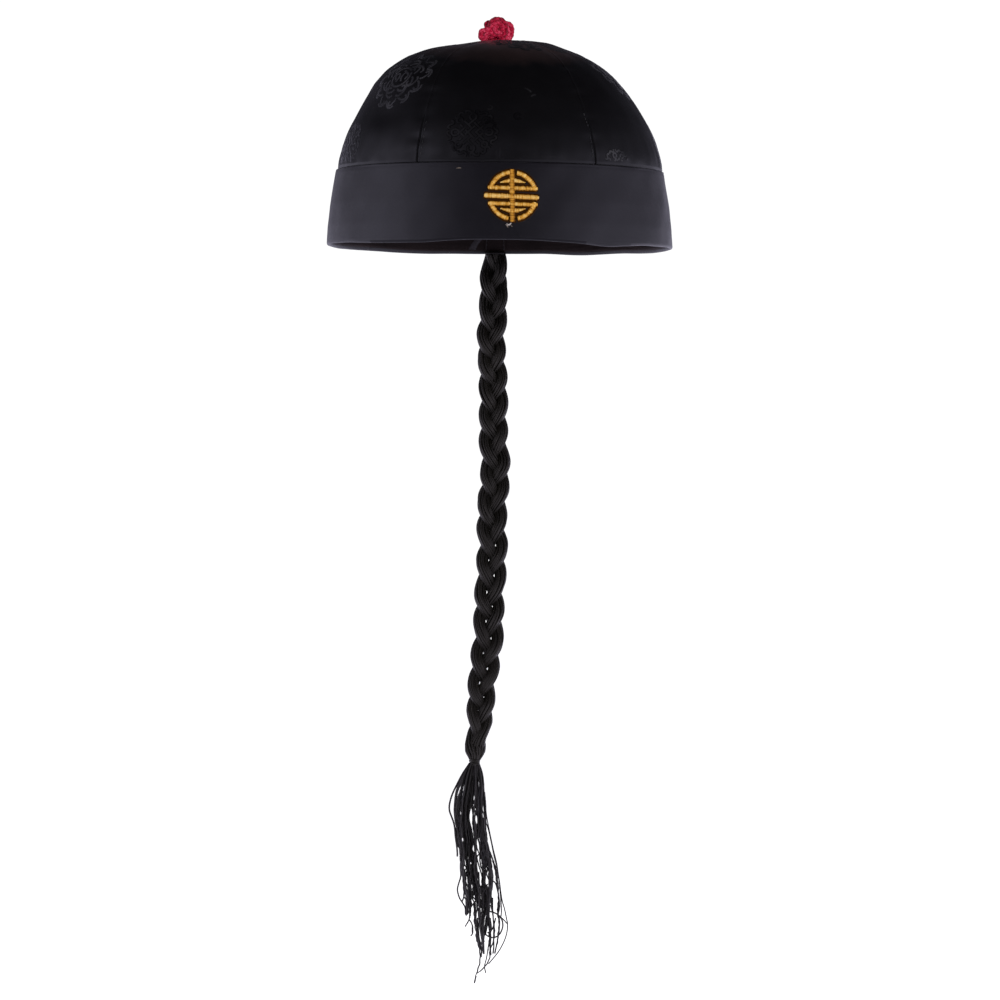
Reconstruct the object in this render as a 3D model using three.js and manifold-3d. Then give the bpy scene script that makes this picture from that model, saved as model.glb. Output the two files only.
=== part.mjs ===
// Six-gore skullcap with a plain turned-up band, a gold roundel on the front of
// the band, a red cord button on the crown and a long plaited cord that hangs
// from the back of the rim.
// Millimetres, +Z up. The origin is the middle of the rim, where the cap sits
// on a head; the roundel faces -Y and the plait hangs at +Y.

import * as THREE from "three";
import Module from "manifold-3d";

const wasm = await Module();
wasm.setup();

// ---------------------------------------------------------------- dimensions
const GAP = 0.3; // clearance between neighbouring pieces
const GORE_WALL = 1.6; // satin with its backing
const SEAM_DIP = 0.7; // depth of the valley along a gore seam
const SEAM_REACH = 4; // how far from a seam the valley fades
const PANEL_FULLNESS = 0.5; // swell of a gore between its seams
const RIM_TILT = 0.013; // the rim hangs lower on +X, mm per mm
const TILT_FADES_AT = 145; // height at which the tilt would be gone

const BAND_SEGMENTS = 72;
const EMBLEM_HEIGHT = 22.9; // height of the roundel's middle above the rim
const EMBLEM_STEP = 3.2; // longest facet along a stitched bar

// Gores, counted as seen from above the front: seam angles in degrees from the
// front (-Y), growing toward +X.
const GORES = [
  { name: "crown_gore_front", from: -34.2, to: 31.1 },
  { name: "crown_gore_front_right", from: 31.1, to: 90.0 },
  { name: "crown_gore_back_right", from: 90.0, to: 148.9 },
  { name: "crown_gore_back", from: 148.9, to: 207.9 },
  { name: "crown_gore_back_left", from: 207.9, to: 266.8 },
  { name: "crown_gore_front_left", from: 266.8, to: 325.8 },
];

// Where the columns of a gore stand between its two seams; close together at
// the seams, where the cloth turns in.
const GORE_COLUMNS = [0, 0.04, 0.12, 0.3, 0.5, 0.7, 0.88, 0.96, 1];

// Sections of the crown from the hem behind the band to the opening under the
// button: radius, height, how far the section's middle leans along X, and how
// much fuller it stands on its -X shoulder.
const CROWN_SECTIONS = [
  { r: 89.95, z: 35.9, lean: 0, shoulder: 0 },
  { r: 89.3, z: 40.6, lean: 0, shoulder: 0 },
  { r: 89.6, z: 41.9, lean: 0, shoulder: 0 },
  { r: 90.0, z: 43.2, lean: 0, shoulder: 0 },
  { r: 88.8, z: 50.0, lean: 0, shoulder: 0 },
  { r: 85.4, z: 60.0, lean: 0, shoulder: 0 },
  { r: 80.6, z: 70.0, lean: 0, shoulder: 0.1 },
  { r: 74.8, z: 80.2, lean: 0, shoulder: 0.3 },
  { r: 68.0, z: 90.2, lean: 0.2, shoulder: 1.3 },
  { r: 60.2, z: 98.2, lean: 0.5, shoulder: 2.4 },
  { r: 50.8, z: 104.6, lean: 0.6, shoulder: 3.0 },
  { r: 40.0, z: 109.0, lean: 1.0, shoulder: 2.7 },
  { r: 28.5, z: 111.9, lean: 1.5, shoulder: 1.0 },
  { r: 15.0, z: 114.0, lean: 2.0, shoulder: 0 },
  { r: 3.2, z: 114.7, lean: -1.4, shoulder: 0 },
];

// Outer face of the band from the fold at the rim to the seam with the crown.
const BAND_OUTER = [
  { r: 94.9, z: 0.0 },
  { r: 95.8, z: 0.9 },
  { r: 95.5, z: 10.0 },
  { r: 94.2, z: 21.5 },
  { r: 92.6, z: 31.5 },
  { r: 91.2, z: 40.4 },
  { r: 90.7, z: 41.5 },
];
// Inner face of the band, from the seam down to the fold: a single layer
// behind the seam, where the gores' hems tuck in, then the doubled facing.
const BAND_INNER = [
  { r: 89.9, z: 41.5 },
  { r: 90.35, z: 35.5 },
  { r: 89.1, z: 35.2 },
  { r: 91.4, z: 21.5 },
  { r: 92.6, z: 11.0 },
  { r: 93.1, z: 2.0 },
  { r: 93.7, z: 0.4 },
];

// Straight stitched bars of the roundel: ends (u along the band, v up, from the
// roundel's middle), width and rise above the band.
const ROUNDEL_BARS = [
  { part: "staff", u0: -0.1, v0: -14.2, u1: -0.1, v1: 14.5, width: 3.4, rise: 1.3 },
  { part: "middle bar", u0: -15.3, v0: -0.9, u1: 14.3, v1: -0.9, width: 2.7, rise: 1.0 },
  { part: "upper bar", u0: -13.2, v0: 4.1, u1: 13.2, v1: 4.1, width: 2.4, rise: 0.95 },
  { part: "lower bar", u0: -13.2, v0: -4.7, u1: 13.2, v1: -4.7, width: 2.3, rise: 0.95 },
];
// Arcs of the roundel's rim: radius of the middle line and angles in degrees.
const ROUNDEL_ARCS = [
  { part: "upper left", radius: 12.5, from: 163, to: 96, width: 2.6, rise: 0.9 },
  { part: "upper right", radius: 12.5, from: 78.5, to: 17, width: 2.7, rise: 0.9 },
  { part: "lower left", radius: 12.7, from: 197, to: 257.5, width: 2.5, rise: 0.9 },
  { part: "lower right", radius: 12.6, from: 282, to: 343, width: 2.6, rise: 0.9 },
];
// Half-moon leaves above and below the bars: half length, straight edge, height.
const ROUNDEL_LEAVES = [
  { part: "upper leaf", half: 6.9, edge: 6.8, height: 2.6, rise: 0.85 },
  { part: "lower leaf", half: 6.9, edge: -7.0, height: -2.5, rise: 0.85 },
];

// Button on the crown: a ball of interlaced cord with loops that stand out of it.
const BUTTON_FLOOR = 115.1; // flat underside, just clear of the crown
const BUTTON_CORE = { x: -1.2, y: 0, z: 121.1, r: 4.7 };
// Rings of cord: middle, ring radius, cord radius, turn about Z and lean in degrees.
const BUTTON_RINGS = [
  { x: -1.2, y: 0.0, z: 121.4, ring: 4.6, cord: 1.75, turn: 20, lean: 75 },
  { x: -1.2, y: -0.2, z: 121.4, ring: 4.5, cord: 1.75, turn: 80, lean: 65 },
  { x: -1.0, y: 0.0, z: 120.8, ring: 4.8, cord: 1.75, turn: -35, lean: 60 },
  { x: -7.8, y: -1.2, z: 118.0, ring: 2.4, cord: 1.7, turn: 10, lean: 80 },
  { x: -5.9, y: 0.6, z: 122.2, ring: 2.1, cord: 1.4, turn: 15, lean: 60 },
  { x: 5.5, y: 0.4, z: 119.8, ring: 3.3, cord: 1.7, turn: 78, lean: 88 },
];

// Plait below the rim: middle line and the width and depth of its section.
const PLAIT_DEPTH_POSITION = 92; // Y of the middle line
const PLAIT_SECTIONS = [
  { z: -0.6, x: 3.9, width: 12.2, depth: 8.8 },
  { z: -8, x: 3.6, width: 14.6, depth: 10.5 },
  { z: -30, x: 2.9, width: 17.0, depth: 12.0 },
  { z: -60, x: 2.2, width: 16.8, depth: 12.0 },
  { z: -90, x: 2.9, width: 17.0, depth: 12.0 },
  { z: -120, x: 3.2, width: 17.8, depth: 12.2 },
  { z: -150, x: 2.7, width: 17.8, depth: 12.2 },
  { z: -180, x: 2.2, width: 18.2, depth: 12.4 },
  { z: -200, x: 1.2, width: 18.0, depth: 12.4 },
  { z: -220, x: -0.4, width: 18.2, depth: 12.4 },
  { z: -240, x: -2.5, width: 17.6, depth: 12.0 },
  { z: -258, x: -3.9, width: 16.0, depth: 11.2 },
  { z: -271, x: -5.5, width: 13.6, depth: 10.0 },
  { z: -281, x: -7.2, width: 13.2, depth: 9.6 },
  { z: -286.8, x: -7.7, width: 8.4, depth: 7.0 },
];
// Thread whipping that closes the plait.
const TIE_SECTIONS = [
  { z: -287.1, x: -7.7, width: 5.2, depth: 5.2 },
  { z: -287.8, x: -7.8, width: 6.2, depth: 6.2 },
  { z: -291.4, x: -8.0, width: 6.2, depth: 6.2 },
  { z: -292.1, x: -8.1, width: 5.2, depth: 5.2 },
];
// Outer form of the loose ends.
const TASSEL_SECTIONS = [
  { z: -292.4, x: -8.1, width: 6.0, depth: 5.6 },
  { z: -298, x: -8.7, width: 12.0, depth: 9.0 },
  { z: -308, x: -11.2, width: 18.5, depth: 12.0 },
  { z: -319, x: -11.8, width: 20.5, depth: 13.5 },
  { z: -329, x: -10.6, width: 19.5, depth: 14.0 },
  { z: -339, x: -8.3, width: 19.5, depth: 14.5 },
  { z: -350, x: -6.2, width: 20.5, depth: 15.0 },
  { z: -361, x: -4.6, width: 22.5, depth: 15.0 },
  { z: -372, x: -2.6, width: 22.5, depth: 14.0 },
  { z: -382, x: -0.6, width: 19.5, depth: 12.0 },
  { z: -391, x: -0.4, width: 14.0, depth: 9.0 },
  { z: -401, x: -2.0, width: 7.5, depth: 5.0 },
  { z: -411, x: -4.8, width: 3.4, depth: 3.0 },
  { z: -417.8, x: -5.8, width: 1.4, depth: 1.4 },
];

// Flat cloth tab inside the back of the band, to whose end the plait is sewn.
const TAB = { width: 11.5, thickness: 1.4, top: 10, bottom: -0.2, offsetX: 4.0 };

// ------------------------------------------------------------------- helpers
const rad = THREE.MathUtils.degToRad;

// The cap is a little lower on its +X side, most of all at the rim.
const hang = ([x, y, z]) => [
  x,
  y,
  z - RIM_TILT * x * (1 - z / TILT_FADES_AT),
];

// A point on a circle of radius r at an angle from the front.
const around = (r, angle, z, cx = 0) => [
  cx + r * Math.sin(angle),
  -r * Math.cos(angle),
  z,
];

// Radius of a face at height z, from its table.
function radiusAt(table, z) {
  const rows = [...table].sort((a, b) => a.z - b.z);
  if (z <= rows[0].z) return rows[0].r;
  for (let i = 1; i < rows.length; i++)
    if (z <= rows[i].z) {
      const t = (z - rows[i - 1].z) / (rows[i].z - rows[i - 1].z);
      return rows[i - 1].r + t * (rows[i].r - rows[i - 1].r);
    }
  return rows[rows.length - 1].r;
}
const bandFace = (z) => radiusAt(BAND_OUTER.slice(1), z);
const facingFace = (z) => radiusAt(BAND_INNER.slice(2), z);

function geometry(points, faces) {
  const g = new THREE.BufferGeometry();
  g.setAttribute("position", new THREE.Float32BufferAttribute(points.flat(), 3));
  g.setIndex(faces.flat());
  g.computeVertexNormals();
  return g;
}

// A closed body through a row of rings with the same number of points. The
// rings run counter-clockwise as seen from the last one. The ends are capped
// round their middle, or across for a "thin" ring, whose second half runs back
// along the first; a "closed" row joins its last ring to its first instead.
function loft(rings, ends = "capped") {
  const n = rings[0].length,
    m = rings.length,
    points = rings.flat(),
    faces = [];
  for (let i = 0; i < (ends === "closed" ? m : m - 1); i++)
    for (let j = 0; j < n; j++) {
      const a = i * n + j,
        b = i * n + ((j + 1) % n),
        c = ((i + 1) % m) * n + ((j + 1) % n),
        d = ((i + 1) % m) * n + j;
      faces.push([a, b, c], [a, c, d]);
    }
  const caps = [
    [0, true],
    [m - 1, false],
  ];
  if (ends === "thin")
    for (const [ring, turned] of caps)
      for (let j = 0; j < n / 2 - 1; j++) {
        const o = ring * n,
          [a, b, c, d] = [o + j, o + j + 1, o + n - 2 - j, o + n - 1 - j];
        faces.push(
          ...(turned
            ? [
                [c, b, a],
                [d, c, a],
              ]
            : [
                [a, b, c],
                [a, c, d],
              ]),
        );
      }
  if (ends === "capped")
    for (const [ring, turned] of caps) {
      const middle = [0, 1, 2].map(
        (k) => rings[ring].reduce((s, p) => s + p[k], 0) / n,
      );
      points.push(middle);
      const c = points.length - 1;
      for (let j = 0; j < n; j++) {
        const a = ring * n + j,
          b = ring * n + ((j + 1) % n);
        faces.push(turned ? [c, b, a] : [c, a, b]);
      }
    }
  return geometry(points, faces);
}

// An upright body from a table of elliptical sections, top to bottom.
function hangingBody(sections, sides, y) {
  return loft(
    sections.map((s) =>
      Array.from({ length: sides }, (_, k) => {
        const a = (-2 * Math.PI * k) / sides;
        return [
          s.x + (s.width / 2) * Math.cos(a),
          y + (s.depth / 2) * Math.sin(a),
          s.z,
        ];
      }),
    ),
  );
}

function solidOf(g) {
  const pos = g.getAttribute("position").array,
    index = g.index.array;
  return new wasm.Manifold(
    new wasm.Mesh({
      numProp: 3,
      vertProperties: new Float32Array(pos),
      triVerts: new Uint32Array(index),
    }),
  );
}
function geometryOf(solid) {
  const m = solid.getMesh(),
    points = [],
    faces = [];
  for (let i = 0; i < m.numVert; i++)
    points.push([...m.vertProperties.subarray(i * m.numProp, i * m.numProp + 3)]);
  for (let i = 0; i < m.numTri; i++)
    faces.push([...m.triVerts.subarray(i * 3, i * 3 + 3)]);
  return geometry(points, faces);
}

// --------------------------------------------------------------------- crown
// Outer and inner point of a gore's cloth at one section, `t` of the way from
// its first seam to its second.
function gorePoints(gore, row, t) {
  const s = CROWN_SECTIONS[row],
    below = CROWN_SECTIONS[Math.max(row - 1, 0)],
    above = CROWN_SECTIONS[Math.min(row + 1, CROWN_SECTIONS.length - 1)],
    clear = GAP / 2 / s.r,
    from = rad(gore.from) + clear,
    to = rad(gore.to) - clear,
    angle = from + t * (to - from),
    arc = s.r * Math.min(angle - from, to - angle),
    fade = Math.min(1, s.r / 40) * (row < 3 ? 0 : 1),
    shift =
      fade *
      (PANEL_FULLNESS * Math.sin(Math.PI * t) -
        SEAM_DIP * Math.exp(-((arc / SEAM_REACH) ** 2)));
  // The hem stands upright; the dome's cloth has its thickness square to the dome.
  let nr = 1,
    nz = 0;
  if (row > 3) {
    nr = above.z - below.z;
    nz = below.r - above.r;
    const l = Math.hypot(nr, nz);
    nr /= l;
    nz /= l;
  }
  const wide = s.r - s.shoulder * Math.sin(angle),
    place = (out) =>
      hang(around(wide + nr * out, angle, s.z + nz * out, s.lean));
  return { outer: place(shift), inner: place(shift - GORE_WALL) };
}

// A gore as rings across its width: outer face one way, inner face back.
function goreBody(gore) {
  return loft(
    CROWN_SECTIONS.map((_, row) => {
      const cells = GORE_COLUMNS.map((t) => gorePoints(gore, row, t));
      return [
        ...cells.map((c) => c.outer),
        ...cells.map((c) => c.inner).reverse(),
      ];
    }),
    "thin",
  );
}

// ---------------------------------------------------------------------- band
function bandBody() {
  const profile = [...BAND_OUTER, ...BAND_INNER];
  return loft(
    Array.from({ length: BAND_SEGMENTS }, (_, k) =>
      profile.map((p) =>
        hang(around(p.r, (-2 * Math.PI * k) / BAND_SEGMENTS, p.z)),
      ),
    ),
    "closed",
  );
}

// ------------------------------------------------------------------- roundel
// A point of the roundel: u along the band, v up, h out of the cloth.
function onBand(u, v, h) {
  const z = EMBLEM_HEIGHT + v,
    r = bandFace(z) + GAP;
  return hang(around(r + h, u / r, z));
}

// A raised strip of stitches with a rounded back, between two edges given as
// lists of [u, v]; the left edge is on the left when walking along it.
function strip(left, right, rise) {
  return loft(
    left.map((l, i) => {
      const r = right[i],
        mix = (t) => [l[0] + t * (r[0] - l[0]), l[1] + t * (r[1] - l[1])];
      return [
        onBand(...mix(0), 0),
        onBand(...mix(0.02), rise * 0.6),
        onBand(...mix(0.5), rise),
        onBand(...mix(0.98), rise * 0.6),
        onBand(...mix(1), 0),
      ];
    }),
  );
}

function barStrip(b) {
  const length = Math.hypot(b.u1 - b.u0, b.v1 - b.v0),
    steps = Math.ceil(length / EMBLEM_STEP),
    [du, dv] = [(b.u1 - b.u0) / length, (b.v1 - b.v0) / length],
    edge = (side) =>
      Array.from({ length: steps + 1 }, (_, i) => {
        const s = (length * i) / steps;
        return [
          b.u0 + du * s - (dv * side * b.width) / 2,
          b.v0 + dv * s + (du * side * b.width) / 2,
        ];
      });
  return strip(edge(1), edge(-1), b.rise);
}

function arcStrip(a) {
  const span = rad(a.to - a.from),
    steps = Math.ceil((Math.abs(span) * a.radius) / EMBLEM_STEP),
    edge = (r) =>
      Array.from({ length: steps + 1 }, (_, i) => {
        const t = rad(a.from) + (span * i) / steps;
        return [r * Math.cos(t), r * Math.sin(t)];
      }),
    inner = edge(a.radius - a.width / 2),
    outer = edge(a.radius + a.width / 2);
  return span > 0 ? strip(inner, outer, a.rise) : strip(outer, inner, a.rise);
}

function leafStrip(l) {
  const steps = Math.ceil((2 * l.half) / 2.4),
    straight = [],
    bowed = [];
  for (let i = 0; i <= steps; i++) {
    const u = -l.half + (2 * l.half * i) / steps,
      swell = Math.max(0.12, 1 - (u / l.half) ** 2);
    straight.push([u, l.edge]);
    bowed.push([u, l.edge + l.height * swell]);
  }
  return l.height > 0
    ? strip(bowed, straight, l.rise)
    : strip(straight, bowed, l.rise);
}

function roundelBody() {
  const parts = [
    ...ROUNDEL_BARS.map(barStrip),
    ...ROUNDEL_ARCS.map(arcStrip),
    ...ROUNDEL_LEAVES.map(leafStrip),
  ].map(solidOf);
  return geometryOf(wasm.Manifold.union(parts));
}

// -------------------------------------------------------------------- button
function ringSolid(ring) {
  const m = new THREE.Matrix4()
    .makeTranslation(ring.x, ring.y, ring.z)
    .multiply(new THREE.Matrix4().makeRotationZ(rad(ring.turn)))
    .multiply(new THREE.Matrix4().makeRotationX(rad(ring.lean)));
  const facetsRound = 14,
    facetsAcross = 6,
    rings = Array.from({ length: facetsRound }, (_, i) => {
      const a = (2 * Math.PI * i) / facetsRound;
      return Array.from({ length: facetsAcross }, (_, j) => {
        const b = (2 * Math.PI * j) / facetsAcross,
          r = ring.ring + ring.cord * Math.cos(b),
          p = new THREE.Vector3(
            r * Math.cos(a),
            r * Math.sin(a),
            ring.cord * Math.sin(b),
          ).applyMatrix4(m);
        return [p.x, p.y, p.z];
      }).reverse();
    });
  return solidOf(loft(rings, "closed"));
}

function buttonBody() {
  const core = wasm.Manifold.sphere(BUTTON_CORE.r, 12).translate([
    BUTTON_CORE.x,
    BUTTON_CORE.y,
    BUTTON_CORE.z,
  ]);
  return geometryOf(
    wasm.Manifold.union([core, ...BUTTON_RINGS.map(ringSolid)]).trimByPlane(
      [0, 0, 1],
      BUTTON_FLOOR,
    ),
  );
}

// ----------------------------------------------------------------------- tab
function tabBody() {
  const heights = [TAB.bottom, 3, TAB.top],
    middle = Math.PI - TAB.offsetX / 92;
  return loft(
    heights.map((z) => {
      const r = facingFace(Math.max(z, 2)) - GAP,
        half = TAB.width / 2 / r,
        face = (rr) =>
          [-1, -0.33, 0.33, 1].map((t) =>
            hang(around(rr, middle + t * half, z)),
          );
      return [...face(r), ...face(r - TAB.thickness).reverse()];
    }),
    "thin",
  );
}

// -------------------------------------------------------------------- object
const satin = { color: 0x141316, roughness: 0.45, metalness: 0 };
const bandCloth = { color: 0x2c2a31, roughness: 0.55, metalness: 0 };
const facing = { color: 0x1d1718, roughness: 0.8, metalness: 0 };
const goldThread = { color: 0xc8942f, roughness: 0.45, metalness: 0 };
const redCord = { color: 0xb5142f, roughness: 0.5, metalness: 0 };
const blackCord = { color: 0x17161a, roughness: 0.4, metalness: 0 };

const cap = new THREE.Group();
function add(name, shape, look) {
  const mesh = new THREE.Mesh(shape, new THREE.MeshStandardMaterial(look));
  mesh.name = name;
  cap.add(mesh);
}

for (const gore of GORES) add(gore.name, goreBody(gore), satin);
add("band", bandBody(), bandCloth);
add("emblem", roundelBody(), goldThread);
add("top_knot", buttonBody(), redCord);
add("braid_tab", tabBody(), facing);
add("braid", hangingBody(PLAIT_SECTIONS, 10, PLAIT_DEPTH_POSITION), blackCord);
add("braid_tie", hangingBody(TIE_SECTIONS, 10, PLAIT_DEPTH_POSITION), blackCord);
add("tassel", hangingBody(TASSEL_SECTIONS, 12, PLAIT_DEPTH_POSITION), blackCord);

export default cap;
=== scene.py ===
"""Looks of the six-gore skullcap with its roundel, cord button and plait.

Shapes are worked out in millimetres in the row frame (+Z up, roundel at -Y) and
turned into metres when a mesh is made.
"""

import math

import bpy
import numpy as np
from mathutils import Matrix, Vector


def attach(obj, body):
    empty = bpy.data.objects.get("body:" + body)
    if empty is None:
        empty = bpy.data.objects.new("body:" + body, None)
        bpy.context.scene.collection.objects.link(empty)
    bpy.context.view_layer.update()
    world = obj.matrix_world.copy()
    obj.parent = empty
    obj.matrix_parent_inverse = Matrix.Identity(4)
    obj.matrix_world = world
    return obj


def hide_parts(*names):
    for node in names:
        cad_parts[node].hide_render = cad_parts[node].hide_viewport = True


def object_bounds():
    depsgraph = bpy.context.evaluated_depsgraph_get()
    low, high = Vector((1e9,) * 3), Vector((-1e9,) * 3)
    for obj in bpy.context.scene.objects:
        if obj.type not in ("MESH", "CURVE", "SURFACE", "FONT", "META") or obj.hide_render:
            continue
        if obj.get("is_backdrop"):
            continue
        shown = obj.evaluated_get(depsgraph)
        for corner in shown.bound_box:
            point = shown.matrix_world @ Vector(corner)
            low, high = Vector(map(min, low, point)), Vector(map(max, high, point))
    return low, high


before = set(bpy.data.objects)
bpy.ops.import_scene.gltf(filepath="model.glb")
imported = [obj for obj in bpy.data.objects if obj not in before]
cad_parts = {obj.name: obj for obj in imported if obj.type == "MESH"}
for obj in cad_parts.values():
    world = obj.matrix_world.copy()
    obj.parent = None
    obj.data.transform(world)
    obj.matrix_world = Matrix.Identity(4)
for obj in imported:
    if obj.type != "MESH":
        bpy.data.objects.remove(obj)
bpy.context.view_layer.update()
MM = 0.001
TAU = 2 * math.pi
scene = bpy.context.scene
scene.view_settings.view_transform = "Standard"
scene.view_settings.look = "None"

# ------------------------------------------------------------------- camera
CAM_TURN = math.radians(-4.2)
CAM_AWAY, CAM_HEIGHT, CAM_FOCUS = 3200.0, -140.6, 207.57
camera_data = bpy.data.cameras.new("camera")
camera_data.sensor_width = 36
camera_data.lens = CAM_FOCUS
camera_data.clip_start, camera_data.clip_end = 0.05, 60
camera = bpy.data.objects.new("camera", camera_data)
scene.collection.objects.link(camera)
camera.location = (
    math.sin(CAM_TURN) * CAM_AWAY * MM,
    -math.cos(CAM_TURN) * CAM_AWAY * MM,
    CAM_HEIGHT * MM,
)
camera.rotation_euler = (math.pi / 2, 0, CAM_TURN)
scene.camera = camera


def seen_at(px, py, depth):
    """The point at y = depth (mm) that stands at these pixels of a 1000 x 1000 view."""
    px, py, depth = (np.asarray(a, float) for a in (px, py, depth))
    focus = CAM_FOCUS / 36 * 1000
    a, b = (px - 500) / focus, (500 - py) / focus
    cx, cy = math.sin(CAM_TURN) * CAM_AWAY, -math.cos(CAM_TURN) * CAM_AWAY
    dx = -math.sin(CAM_TURN) + a * math.cos(CAM_TURN)
    dy = math.cos(CAM_TURN) + a * math.sin(CAM_TURN)
    t = (depth - cy) / dy
    return np.stack(np.broadcast_arrays(cx + t * dx, depth + 0 * t, CAM_HEIGHT + t * b), -1)


# ------------------------------------------------------------------ helpers
def hang(p):
    """The cap sits a little lower on its +X side, most of all at the rim."""
    p = np.array(p, float)
    p[..., 2] -= 0.013 * p[..., 0] * (1 - p[..., 2] / 145)
    return p


def through(points, per=8, closed=False):
    """A smooth line through points."""
    p = np.asarray(points, float)
    if closed:
        ext = np.concatenate([p[-1:], p, p[:2]])
    else:
        ext = np.concatenate([2 * p[:1] - p[1:2], p, 2 * p[-1:] - p[-2:-1]])
    out = []
    for i in range(1, len(ext) - 2):
        a, b, c, d = ext[i - 1], ext[i], ext[i + 1], ext[i + 2]
        for k in range(per):
            t = k / per
            out.append(
                0.5
                * (
                    2 * b
                    + (c - a) * t
                    + (2 * a - 5 * b + 4 * c - d) * t * t
                    + (3 * b - a - 3 * c + d) * t**3
                )
            )
    if not closed:
        out.append(ext[-2])
    return np.array(out)


def evenly(p, step):
    """The same line with points about step apart."""
    p = np.asarray(p, float)
    length = np.concatenate([[0], np.cumsum(np.linalg.norm(np.diff(p, axis=0), axis=1))])
    n = max(2, int(math.ceil(length[-1] / step)) + 1)
    at = np.linspace(0, length[-1], n)
    return np.stack([np.interp(at, length, p[:, k]) for k in range(p.shape[1])], -1)


def waves(seed, count, low, high, dims=1):
    """A smooth repeatable unevenness: a sum of sines with wavelengths low to high."""
    rng = np.random.RandomState(seed)
    length = low * (high / low) ** rng.rand(count)
    way = rng.randn(count, dims)
    way /= np.linalg.norm(way, axis=1, keepdims=True)
    k = TAU / length[:, None] * way
    phase = rng.rand(count) * TAU
    size = (length / high) ** 0.7
    size = size / math.sqrt((size**2).sum() / 2)

    def field(*axes):
        axes = np.broadcast_arrays(*[np.asarray(a, float) for a in axes])
        total = 0
        for i in range(count):
            total = total + size[i] * np.sin(sum(k[i, j] * axes[j] for j in range(dims)) + phase[i])
        return total

    return field


class Shape:
    """Faces gathered for one mesh, with cloth coordinates in mm and a shade."""

    def __init__(self):
        self.v, self.uv, self.shade = [], [], []
        self.f, self.m = [], []
        self.count = 0

    def points(self, p, uv=None, shade=0.5):
        p = np.asarray(p, float).reshape(-1, 3)
        uv = np.zeros((len(p), 2)) if uv is None else np.asarray(uv, float).reshape(-1, 2)
        self.v.append(p)
        self.uv.append(uv)
        self.shade.append(np.broadcast_to(np.asarray(shade, float).reshape(-1), (len(p),)))
        first = self.count
        self.count += len(p)
        return first

    def faces(self, f, material=0):
        self.f.extend(f)
        self.m.extend([material] * len(f))

    def grid(self, p, uv=None, material=0, shade=0.5, close_i=False, close_j=False, flip=False):
        """p is (rows, columns, 3). close_j joins the last column to the first."""
        rows, cols = p.shape[:2]
        first = self.points(
            p, uv, shade if np.ndim(shade) == 0 else np.broadcast_to(shade, (rows, cols))
        )
        i = np.arange(rows if close_i else rows - 1)[:, None]
        j = np.arange(cols if close_j else cols - 1)[None]
        i2, j2 = (i + 1) % rows, (j + 1) % cols
        q = np.stack(
            np.broadcast_arrays(i * cols + j, i * cols + j2, i2 * cols + j2, i2 * cols + j), -1
        ).reshape(-1, 4)
        if flip:
            q = q[:, ::-1]
        self.faces((q + first).tolist(), material)
        return first

    def tube(self, path, radius, sides=6, material=0, shade=0.5, up=None, squash=1.0, ends=True, ripple=None):
        """A cord along path. up, a fixed direction that the path never runs along, keeps its faces from turning."""
        path = np.asarray(path, float)
        n = len(path)
        radius = np.broadcast_to(np.asarray(radius, float), (n,))
        t = np.gradient(path, axis=0)
        t /= np.maximum(np.linalg.norm(t, axis=1, keepdims=True), 1e-9)
        if up is not None:
            a = np.cross(t, np.asarray(up, float))
            a /= np.maximum(np.linalg.norm(a, axis=1, keepdims=True), 1e-9)
        else:
            a = np.zeros_like(t)
            first = np.array([0, 0, 1.0]) if abs(t[0, 2]) < 0.9 else np.array([1.0, 0, 0])
            x = np.cross(t[0], first)
            a[0] = x / np.linalg.norm(x)
            for i in range(1, n):
                x = a[i - 1] - t[i] * np.dot(a[i - 1], t[i])
                a[i] = x / max(np.linalg.norm(x), 1e-9)
        b = np.cross(t, a)
        length = np.concatenate([[0], np.cumsum(np.linalg.norm(np.diff(path, axis=0), axis=1))])
        ang = np.arange(sides) / sides * TAU
        r = radius[:, None] * np.ones(sides)[None]
        if ripple is not None:
            r = r + ripple(length[:, None], ang[None])
        p = (
            path[:, None]
            + a[:, None] * (r * np.cos(ang))[..., None]
            + b[:, None] * (r * squash * np.sin(ang))[..., None]
        )
        uv = np.stack(np.broadcast_arrays(ang[None] / TAU, length[:, None]), -1)
        sh = shade if np.ndim(shade) == 0 else np.asarray(shade)[:, None]
        first = self.grid(p, uv, material, sh, close_j=True)
        if ends:
            for row, flip in ((0, True), (n - 1, False)):
                tip = self.points(
                    path[row] + (-1 if flip else 1) * t[row] * radius[row] * 0.6,
                    [[0.5, length[row]]],
                    float(np.ravel(sh)[0]),
                )
                o = first + row * sides
                self.faces(
                    [
                        [tip, o + (j + 1) % sides, o + j] if flip else [tip, o + j, o + (j + 1) % sides]
                        for j in range(sides)
                    ],
                    material,
                )
        return first

    def make(self, name, materials, replaced, smooth=True, check=True):
        me = bpy.data.meshes.new(name)
        v = np.concatenate(self.v) * MM
        me.from_pydata(v.tolist(), [], self.f)
        if check:
            me.validate(verbose=False)
        for m in materials:
            me.materials.append(m)
        me.polygons.foreach_set("material_index", np.array(self.m, np.int32))
        me.polygons.foreach_set("use_smooth", np.full(len(me.polygons), bool(smooth)))
        uv = np.concatenate(self.uv)
        index = np.zeros(len(me.loops), np.int32)
        me.loops.foreach_get("vertex_index", index)
        layer = me.uv_layers.new(name="cloth")
        layer.data.foreach_set("uv", uv[index].astype(np.float32).ravel())
        shade = me.attributes.new("shade", "FLOAT", "POINT")
        shade.data.foreach_set("value", np.concatenate(self.shade).astype(np.float32))
        me.update()
        ob = bpy.data.objects.new(name, me)
        scene.collection.objects.link(ob)
        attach(ob, "root")
        if replaced:
            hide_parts(*replaced)
        return ob


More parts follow.
